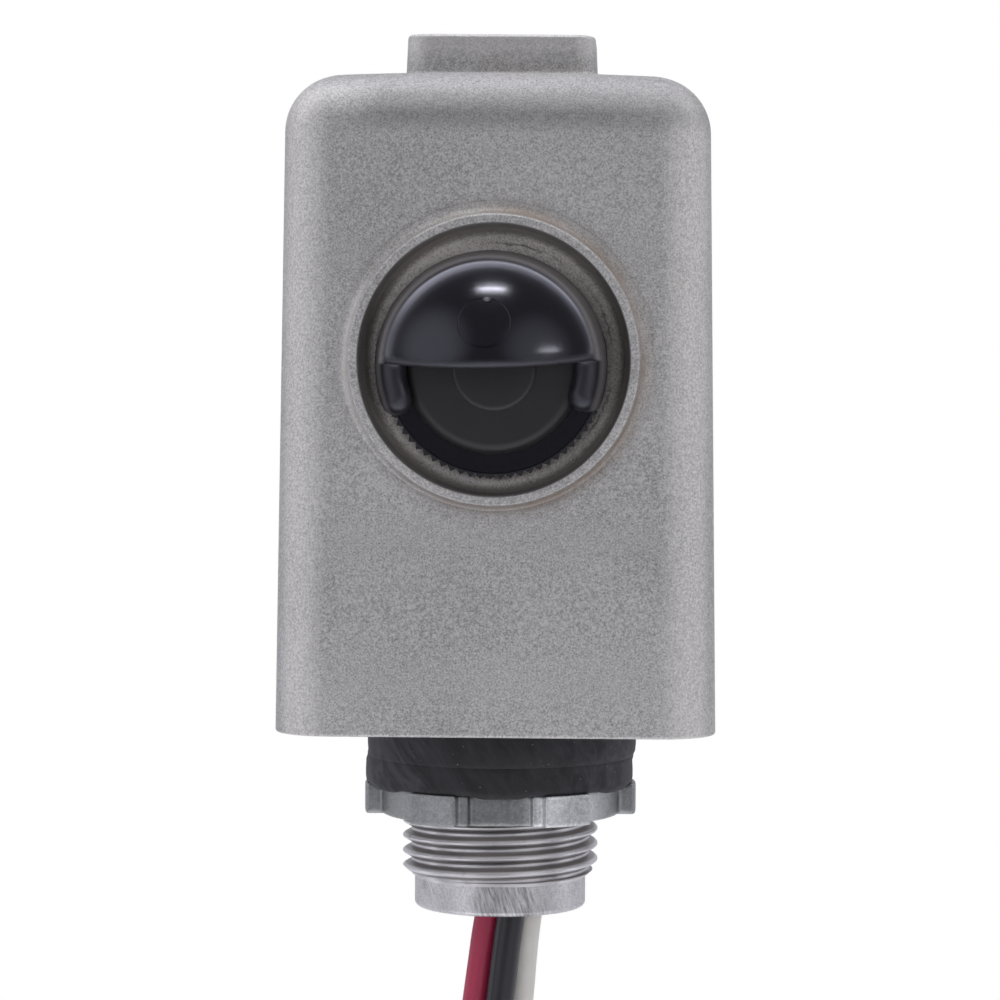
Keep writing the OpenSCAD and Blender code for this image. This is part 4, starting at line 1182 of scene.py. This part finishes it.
class PHOTOCELL_OT_stem(bpy.types.Operator):
    """Turns the stem with its true thread, on its base plate"""

    bl_idname = "photocell.stem"
    bl_label = "Stem"

    def thread(self, stem, top):
        """A right-hand thread, trimmed flat above and chamfered below."""
        pitch = stem.thread_pitch
        crest = stem.thread_r
        root = crest - stem.thread_depth
        ease = 0.12 * MM
        turns = 8
        shape = [(root, 0), (root, 0.12), (root + ease, 0.2), (crest - ease, 0.44), (crest, 0.52),
                 (crest, 0.62), (crest - ease, 0.70), (root + ease, 0.94), (root, 1)]
        begin()
        bottom = stem.thread_end - 2 * pitch + 0.64 * MM
        draw_chain([(radius, bottom + share * pitch) for radius, share in shape])
        obj = close("stem_cast")
        apply_modifier(obj, "SCREW", angle=FULL_TURN, screw_offset=pitch, iterations=turns, steps=96,
                       render_steps=96, use_merge_vertices=True, merge_threshold=0.0005 * MM)
        edit(obj)
        tidy_mesh()
        for height, normal in ((stem.thread_end - 0.4 * MM, -1), (top, 1)):
            slice_open((0, 0, height), (0, 0, normal), use_fill=True, clear_outer=True)
        tidy_mesh()
        obj = close("stem_cast")
        outside = crest + 0.1 * MM
        trim = top - 0.1 * MM
        envelope = [(0, stem.thread_end), (crest - stem.thread_chamfer, stem.thread_end),
                    (outside, stem.thread_end + stem.thread_chamfer), (outside, trim), (0, trim)]
        return combine(obj, lathe("thread_room", envelope), "INTERSECT")

    def plate(self, stem):
        """The base plate with its two posts."""
        plate_top = SEAT_Z + stem.plate_t
        obj = block("base_plate", (stem_low.x, stem_low.y, SEAT_Z), (stem_high.x, stem_high.y, plate_top))
        edit(obj)
        round_uprights(obj, 4.7 * MM)
        obj = close("base_plate")
        board_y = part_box("switch_board")[1].y
        screws_low, screws_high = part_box("board_screws")
        post_w = 5 * MM
        post_d = 4 * MM
        screw_r = 2.5 * MM
        for x in (screws_low.x + screw_r, screws_high.x - screw_r):
            low = (x - post_w / 2, board_y, plate_top - 0.5 * MM)
            combine(obj, block("post", low, (x + post_w / 2, board_y + post_d, stem_high.z)), "UNION")
        return obj

    def execute(self, context):
        stem, colours = settings("stem", "colours")
        covered = 2.5 * MM
        edge = 0.5 * MM
        neck_z = covered - 0.33 * MM
        neck_r = stem.thread_r - 0.1 * MM
        join_z = SEAT_Z + 0.2 * MM
        obj = self.thread(stem, covered)
        nose = [(0, NOSE_END_Z), (stem.nose_r - edge, NOSE_END_Z)]
        nose += arc((stem.nose_r - edge, NOSE_END_Z + edge), edge, -90, 0, 4)
        nose += [(stem.nose_r, neck_z), (neck_r, neck_z), (neck_r, join_z), (0, join_z)]
        core = lathe("stem_core", nose)
        combine(core, self.plate(stem), "UNION")
        combine(obj, core, "UNION", "MANIFOLD")
        above = SEAT_Z + stem.plate_t + 1 * MM
        bore = [(0, NOSE_END_Z - 1 * MM), (stem.bore_r + 1 * MM, NOSE_END_Z - 0.5 * MM),
                (stem.bore_r, NOSE_END_Z + edge), (stem.bore_r, above), (0, above)]
        combine(obj, lathe("stem_bore", bore), "DIFFERENCE")
        hole_r = 1.7 * MM
        under = SEAT_Z - 0.5 * MM
        through = SEAT_Z + 4 * MM
        cone = [(0, under), (SCREW_HEAD_R + 0.6 * MM, under), (hole_r, SEAT_Z + 1.3 * MM), (hole_r, through),
                (0, through)]
        for spot in base_screw_spots():
            combine(obj, shift(lathe("countersink", cone, 48), *spot), "DIFFERENCE")
        shade(obj, 28)
        paint(obj, turned_zinc(colours))
        settle(obj, "body", "turned_zinc", "stem_base")
        return {"FINISHED"}


class PHOTOCELL_OT_gasket(bpy.types.Operator):
    """Moulds the thick rubber gasket, with its parting line and its bulges into the nut's notches"""

    bl_idname = "photocell.gasket"
    bl_label = "Gasket"

    def execute(self, context):
        stem, colours = settings("stem", "colours")
        low = gasket_low.z
        high = gasket_high.z
        line = low + (high - low) * 0.44
        radius = stem.gasket_r
        inner = stem.thread_r + 0.1 * MM
        lower = [(0.0, 0.25), (0.2, 0.06), (0.7, 0.0), (1.4, 0.0), (2.0, 0.03), (2.4, 0.05)]
        upper = [(0.08, 0.06), (0.5, 0.0), (1.2, -0.06), (2.0, -0.06), (2.8, 0.02), (3.4, 0.08)]
        profile = [(inner, low), (radius - 1.6 * MM, low), (radius - 0.8 * MM, low)]
        profile += [(radius - dent * MM, low + height * MM) for height, dent in lower]
        profile += [(radius - 0.06 * MM, line - 0.1 * MM), (radius - 0.1 * MM, line)]
        profile += [(radius - dent * MM, line + height * MM) for height, dent in upper]
        profile += [(radius - 0.3 * MM, high), (inner, high), (inner, low)]
        obj = lathe("gasket_ring", profile, 180)
        edit(obj)
        pick(obj, "VERT", lambda vert: vert.co.z > line + NEAR)
        bpy.ops.transform.translate(value=(stem.mould_shift, 0, 0))
        pick(obj, "VERT", lambda vert: vert.co.z < line - NEAR)
        bpy.ops.transform.translate(value=(-stem.mould_shift, 0, 0))
        pitch = 360 / stem.nut_lugs
        for index in range(stem.nut_lugs):
            notch = FIRST_LUG + pitch / 2 + index * pitch

            def in_notch(vert):
                reach, turn = polar(vert.co)
                return vert.co.z < low + 0.5 * MM and reach > radius - 1.2 * MM and turned_by(turn, notch) < 8

            pick(obj, "VERT", in_notch)
            pull(-0.28 * MM, "SMOOTH", 1.6 * MM)
        obj = close("gasket_ring")
        ripple = bpy.data.textures.new("gasket_ripple", "CLOUDS")
        ripple.noise_scale = 3.2 * MM
        apply_modifier(obj, "DISPLACE", texture=ripple, strength=0.05 * MM, mid_level=0.5,
                       texture_coords="LOCAL")
        shade(obj, 40)
        paint(obj, gasket_rubber(colours))
        settle(obj, "body", "gasket_rubber", "stem_gasket")
        return {"FINISHED"}


class PHOTOCELL_OT_lock_nut(bpy.types.Operator):
    """Casts the lock nut with its lugs and notches"""

    bl_idname = "photocell.lock_nut"
    bl_label = "Lock nut"

    def execute(self, context):
        stem, colours = settings("stem", "colours")
        pitch = 360 / stem.nut_lugs
        half_lug = 10.4
        lug_end = half_lug + 0.8
        step_end = half_lug + 5.4
        step_depth = 0.95 * MM

        def nearest(vert, first, spacing):
            turn = polar(vert.co)[1]
            return min(turned_by(turn, first + i * spacing) for i in range(stem.nut_lugs))

        def from_lug(vert):
            return nearest(vert, FIRST_LUG, pitch)

        def stepped(vert):
            return nearest(vert, FIRST_LUG - pitch / 2, 2 * pitch) < pitch / 2

        def on_step(vert):
            return stepped(vert) and lug_end < from_lug(vert) <= step_end

        def in_notch(vert):
            return from_lug(vert) > (step_end if stepped(vert) else lug_end)

        obj = open_circle(720, stem.nut_r)
        for test, depth in ((on_step, step_depth), (in_notch, stem.nut_notch)):
            shrink(obj, test, (stem.nut_r - depth) / stem.nut_r)
        select_all()
        bpy.ops.mesh.dissolve_limited(angle_limit=math.radians(0.3))
        obj = thicken("nut_cast", nut_low.z - 0.3 * MM, nut_high.z)
        apply_modifier(obj, "REMESH", mode="VOXEL", voxel_size=0.15 * MM, use_smooth_shade=True)
        apply_modifier(obj, "SMOOTH", factor=0.5, iterations=16)
        apply_modifier(obj, "DECIMATE", ratio=0.3)
        bore = rod("nut_bore", stem.thread_r + 0.1 * MM, nut_low.z - 2 * MM, nut_high.z + 2 * MM, sides=128)
        combine(obj, bore, "DIFFERENCE")
        shade(obj)
        paint(obj, nut_zinc(colours))
        settle(obj, "body", "nut_zinc", "lock_nut")
        return {"FINISHED"}


class PHOTOCELL_OT_hood(bpy.types.Operator):
    """Moulds the light hood: visor, arms, toothed flange and hub in one piece"""

    bl_idname = "photocell.hood"
    bl_label = "Light hood"

    def shoulder(self, hood):
        """Centre of the shoulder's rounding, as radius and height, and the lean of the wall below it."""
        dome_c = hood.visor_reach - hood.dome_r
        x = hood.visor_r - hood.visor_draft - hood.shoulder_r
        z = dome_c + math.sqrt((hood.dome_r - hood.shoulder_r) ** 2 - x ** 2)
        return x, z, math.atan2(hood.visor_draft, z)

    def visor(self, hood):
        """A domed shell, a little flattened on top and cut off along its sloping lip."""
        dome_c = hood.visor_reach - hood.dome_r
        x, z, lean = self.shoulder(hood)
        meet = math.degrees(math.atan2(z - dome_c, x))
        profile = [(hood.visor_r, -0.4 * MM), (hood.visor_r, 0)]
        profile += arc((x, z), hood.shoulder_r, math.degrees(lean), meet, 12)
        profile += arc((0, dome_c), hood.dome_r, meet, 90, 14)[1:]
        obj = lathe("hood_moulding", profile, 144)
        edit(obj)
        select_all()
        bpy.ops.transform.resize(value=(1, hood.visor_squash, 1), center_override=(0, 0, 0))
        slice_open((0, hood.lip_offset, 0), lip_normal(hood), clear_inner=True)
        tidy_mesh()
        obj = close("hood_moulding")
        apply_modifier(obj, "SOLIDIFY", thickness=hood.visor_wall, offset=-1, use_even_offset=True)
        return obj

    def soften(self, hood, obj, others):
        """Melts pieces into one moulding whose edges are all a little round, the visor's lip most."""
        start = Vector((0, hood.lip_offset, 0))
        across = lip_normal(hood)
        activate(obj)
        for other in others:
            other.select_set(True)
        bpy.ops.object.join()
        apply_modifier(obj, "REMESH", mode="VOXEL", voxel_size=0.15 * MM, use_smooth_shade=True)
        apply_modifier(obj, "SMOOTH", factor=0.5, iterations=24)
        edit(obj)
        pick(obj, "VERT", lambda vert: vert.co.z > 3.5 * MM and abs((vert.co - start).dot(across)) < 1.2 * MM)
        bpy.ops.object.vertex_group_assign_new()
        close(obj.name)
        apply_modifier(obj, "SMOOTH", factor=0.5, iterations=70, vertex_group=obj.vertex_groups[0].name)
        obj.vertex_groups.clear()
        apply_modifier(obj, "DECIMATE", ratio=0.45)

    def arm(self, hood, side):
        """A round-topped wall that follows the visor's edge, with its draft, to a round tip."""
        lean = self.shoulder(hood)[2]
        middle_r = hood.visor_r - hood.arm_w / 2
        crown = hood.arm_w / 2
        foot = -0.5 * MM
        under_visor = math.radians(14)
        half = [(0, foot), (crown, foot)] + arc((0, hood.arm_h - crown), crown, 0, 90, 8)
        mirrored = [(-x, z) for x, z in reversed(half[1:-1])]
        section = [(middle_r + x - z * math.tan(lean), z) for x, z in half[1:] + mirrored + [half[1]]]
        obj = lathe("arm", section, 36, hood.arm_angle + under_visor)
        edit(obj)
        pick(obj, "EDGE", lambda edge: edge.is_boundary)
        bpy.ops.mesh.fill_holes(sides=0)
        tidy_mesh()
        obj = close("arm")
        place(obj, Matrix.Rotation(under_visor, 4, "Z"))
        tip = lathe("arm_tip", half, 48)
        a = -hood.arm_angle
        spot = Matrix.Translation((middle_r * math.cos(a), middle_r * math.sin(a), 0))
        place(tip, spot @ Matrix.Rotation(a, 4, "Z") @ Matrix.Rotation(-lean, 4, "Y"))
        combine(obj, tip, "UNION")
        if side < 0:
            place(obj, Matrix.Scale(-1, 4, (1, 0, 0)))
            edit(obj)
            tidy_mesh()
            close("arm")
        return obj

    def teeth(self, hood):
        """The flange with its rim of thumb teeth, and a low step inside them."""
        tip_r = hood.tooth_tip_r
        root_r = tip_r - hood.tooth_depth
        root = root_r / tip_r
        half_pitch = 180 / hood.tooth_count
        plain_from = -4.6 * MM
        step = 0.2 * MM
        obj = open_circle(2 * hood.tooth_count, tip_r)
        shrink(obj, lambda vert: round(polar(vert.co)[1] / half_pitch) % 2 == 1, root)
        shrink(obj, lambda vert: vert.co.y > plain_from and vert.co.xy.length > tip_r * (1 + root) / 2, root)
        obj = thicken("teeth", -hood.flange_t, -step)
        step_r = root_r - 0.12 * MM
        edge = 0.1 * MM
        raised = [(0, -1 * MM), (step_r, -1 * MM), (step_r, -edge), (step_r - edge, 0), (0, 0)]
        return combine(obj, lathe("step", raised, 144), "UNION")

    def hub(self, hood):
        """The hub with its clip groove, the flange's plain part and the lens seat."""
        outer = hood.hub_r
        bore = outer - hood.hub_wall
        groove = outer - 0.7 * MM
        chamfer = 0.2 * MM
        plain = hood.tooth_tip_r - hood.tooth_depth - 0.6 * MM
        end = -hood.hub_end
        back = -hood.flange_t + 0.3 * MM
        clip_front = -hood.clip_depth
        clip_back = clip_front - hood.clip_t
        seat = -hood.lens_back
        profile = [(bore, end), (outer - chamfer, end), (outer, end + chamfer), (outer, clip_back),
                   (groove, clip_back), (groove, clip_front), (outer, clip_front), (outer, back),
                   (plain, back), (plain, seat), (bore, seat), (bore, end)]
        return lathe("hub", profile, 144)

    def mould_mark(self, hood, obj):
        """A fine round mark with a nub, left by the mould on the visor."""
        dome_c = hood.visor_reach - hood.dome_r
        offset = Vector((-0.25 * MM, 4.3 * MM, 0))
        height = math.sqrt(hood.dome_r ** 2 - offset.length_squared)
        out = Vector((offset.x, offset.y, height)).normalized()
        centre = Vector((0, 0, dome_c)) + out * math.sqrt(hood.dome_r ** 2 - hood.mark_r ** 2)
        up = Vector((0, 1, 0))
        up = (up - out * up.dot(out)).normalized()
        turn = Matrix((up.cross(out), up, out)).transposed().to_4x4()
        flatten = Matrix.Scale(hood.visor_squash, 4, (0, 1, 0))
        begin()
        bpy.ops.mesh.primitive_torus_add(major_radius=hood.mark_r, minor_radius=0.1 * MM, major_segments=96,
                                         minor_segments=8)
        groove = place(bpy.context.object, flatten @ Matrix.Translation(centre) @ turn)
        combine(obj, groove, "DIFFERENCE")
        begin()
        bpy.ops.mesh.primitive_uv_sphere_add(segments=24, ring_count=12, radius=1)
        spot = turn @ Vector((0.3 * MM, hood.mark_r - 0.15 * MM, 0))
        shape = Matrix.Diagonal((0.5 * MM, 0.28 * MM, 0.3 * MM, 1))
        nub = place(bpy.context.object, flatten @ Matrix.Translation(centre + spot) @ turn @ shape)
        combine(obj, nub, "UNION")

    def execute(self, context):
        hood, colours = settings("hood", "colours")
        arms = [self.arm(hood, side) for side in (-1, 1)]
        obj = self.visor(hood)
        self.soften(hood, obj, arms)
        self.mould_mark(hood, obj)
        shift(obj, -hood.visor_shift, 0)
        combine(obj, self.teeth(hood), "UNION")
        room_r = hood.lens_r + 0.04 * MM
        mouth = 1.7 * MM
        seat = [(0, -hood.lens_back), (room_r, -hood.lens_back), (room_r, 0.9 * MM),
                (hood.lens_r - 0.35 * MM, mouth), (0, mouth)]
        combine(obj, lathe("lens_room", seat, 144), "DIFFERENCE")
        shift(obj, -hood.slip, -hood.drop)
        combine(obj, rod("hub_room", hood.hub_r - 0.3 * MM, -4 * MM, -0.5 * MM), "DIFFERENCE")
        combine(obj, self.hub(hood), "UNION")
        place(obj, hood_frame(hood))
        shade(obj, 30)
        paint(obj, hood_plastic(colours, hood))
        settle(obj, "light_hood", "hood_plastic", "hood")
        return {"FINISHED"}


class PHOTOCELL_OT_lens(bpy.types.Operator):
    """Moulds the smoke-grey lens with its rounded edge and round mark"""

    bl_idname = "photocell.lens"
    bl_label = "Lens"

    def execute(self, context):
        hood, colours = settings("hood", "colours")
        front = hood.lens_t - hood.lens_back
        flat_r = hood.lens_r - hood.lens_edge
        crown = 0.12 * MM
        edge = 0.35 * MM
        profile = [(0, -hood.lens_back), (hood.lens_r, -hood.lens_back), (hood.lens_r, edge)]
        steps = 8
        for index in range(1, steps + 1):
            a = math.pi / 2 * index / steps
            height = edge + (front - edge - crown) * math.sin(a)
            profile.append((flat_r + hood.lens_edge * math.cos(a), height))
        profile += [(flat_r * 0.66, front - crown * 0.45), (flat_r * 0.33, front - crown * 0.1), (0, front)]
        obj = lathe("lens_disc", profile, 144)
        raised = ((4.3, -0.02), (4.22, 0.08), (4.05, 0.16), (3.8, 0.19), (2, 0.2), (0, 0.2))
        pad = [(0, 0), (4.3 * MM, 0)] + [(radius * MM, front + height * MM) for radius, height in raised]
        combine(obj, shift(lathe("lens_pad", pad, 120), 0.1 * MM, -0.35 * MM), "UNION")
        place(obj, hood_frame(hood) @ Matrix.Translation((-hood.slip, -hood.drop, 0)))
        shade(obj, 30)
        paint(obj, lens_plastic(colours))
        settle(obj, "light_hood", "lens_plastic", "lens")
        return {"FINISHED"}


class PHOTOCELL_OT_inner_finish(bpy.types.Operator):
    """Gives the parts inside and underneath their finishes"""

    bl_idname = "photocell.inner_finish"
    bl_label = "Inner finishes"

    def metals(self):
        """Each metal with the nodes that are made of it."""
        upright = (1, 1, 0.15)
        return (
            (plain_metal("brass_strip", (0.72, 0.50, 0.20), 0.26, upright),
             ("line_terminal", "load_terminal", "neutral_terminal", "terminal_rivets")),
            (plain_metal("bracket_brass", (0.64, 0.44, 0.19), 0.30, upright), ("blade_bracket",)),
            (plain_metal("plated_steel", (0.62, 0.62, 0.60), 0.28),
             ("base_screws", "board_screws", "blade_clamp", "clamp_rivet")),
            (plain_metal("spring_steel", (0.42, 0.42, 0.43), 0.30), ("hood_washer", "hood_clip")),
            (plain_metal("contact_silver", (0.86, 0.85, 0.82), 0.18), ("fixed_contact", "moving_contact")),
            (plain_metal("tinned_wire", (0.70, 0.69, 0.66), 0.24), ("heater_leads", "cell_leads")),
            (bimetal(), ("bimetal_blade",)),
        )

    def bodies(self):
        """Each other material with the node that is made of it."""
        return (
            (plain_body("phenolic_board", (0.165, 0.075, 0.030), (0.24, 0.125, 0.055), 0.42, 0.8,
                        (1, 1, 0.2)),
             ("switch_board",)),
            (plain_body("fibre_paper", (0.44, 0.36, 0.24), (0.55, 0.47, 0.33), 0.72, 1.2, (0.3, 1, 1)),
             ("insulating_liner",)),
            (plain_body("seal_rubber", (0.020, 0.020, 0.022), (0.045, 0.045, 0.048), 0.62, 1.4),
             ("base_gasket",)),
            (plain_body("holder_plastic", (0.70, 0.66, 0.55), (0.76, 0.73, 0.63), 0.38, 0.5),
             ("cell_holder",)),
            (plain_body("heater_ceramic", (0.64, 0.60, 0.50), (0.74, 0.71, 0.63), 0.48, 0.9), ("heater",)),
            (cell_face(), ("photocell",)),
        )

    def execute(self, context):
        for material, names in self.metals() + self.bodies():
            for name in names:
                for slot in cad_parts[name].material_slots:
                    slot.material = material
        return {"FINISHED"}


class PHOTOCELL_PT_panel(bpy.types.Panel):
    """Lists the steps that dress the photocell switch"""

    bl_idname = "PHOTOCELL_PT_panel"
    bl_label = "Photocell Switch"
    bl_space_type = "VIEW_3D"
    bl_region_type = "UI"
    bl_category = "Photocell"

    def draw(self, context):
        for operator in OPERATORS:
            self.layout.operator(operator.bl_idname)


GROUPS = {
    "photocell_housing": PhotocellHousingSizes,
    "photocell_hood": PhotocellHoodSizes,
    "photocell_stem": PhotocellStemSizes,
    "photocell_view": PhotocellView,
    "photocell_colours": PhotocellColours,
}
OPERATORS = (PHOTOCELL_OT_stage, PHOTOCELL_OT_leads, PHOTOCELL_OT_housing, PHOTOCELL_OT_stem,
             PHOTOCELL_OT_gasket, PHOTOCELL_OT_lock_nut, PHOTOCELL_OT_hood, PHOTOCELL_OT_lens,
             PHOTOCELL_OT_inner_finish)


def register():
    for name, group in GROUPS.items():
        bpy.utils.register_class(group)
        setattr(bpy.types.Scene, name, PointerProperty(type=group))
    for operator in OPERATORS:
        bpy.utils.register_class(operator)
    bpy.utils.register_class(PHOTOCELL_PT_panel)


def unregister():
    bpy.utils.unregister_class(PHOTOCELL_PT_panel)
    for operator in reversed(OPERATORS):
        bpy.utils.unregister_class(operator)
    for name, group in GROUPS.items():
        delattr(bpy.types.Scene, name)
        bpy.utils.unregister_class(group)


def main():
    register()
    bpy.ops.photocell.stage()
    bpy.ops.photocell.leads()
    bpy.ops.photocell.housing()
    bpy.ops.photocell.stem()
    bpy.ops.photocell.gasket()
    bpy.ops.photocell.lock_nut()
    bpy.ops.photocell.hood()
    bpy.ops.photocell.lens()
    bpy.ops.photocell.inner_finish()


if __name__ == "__main__":
    main()
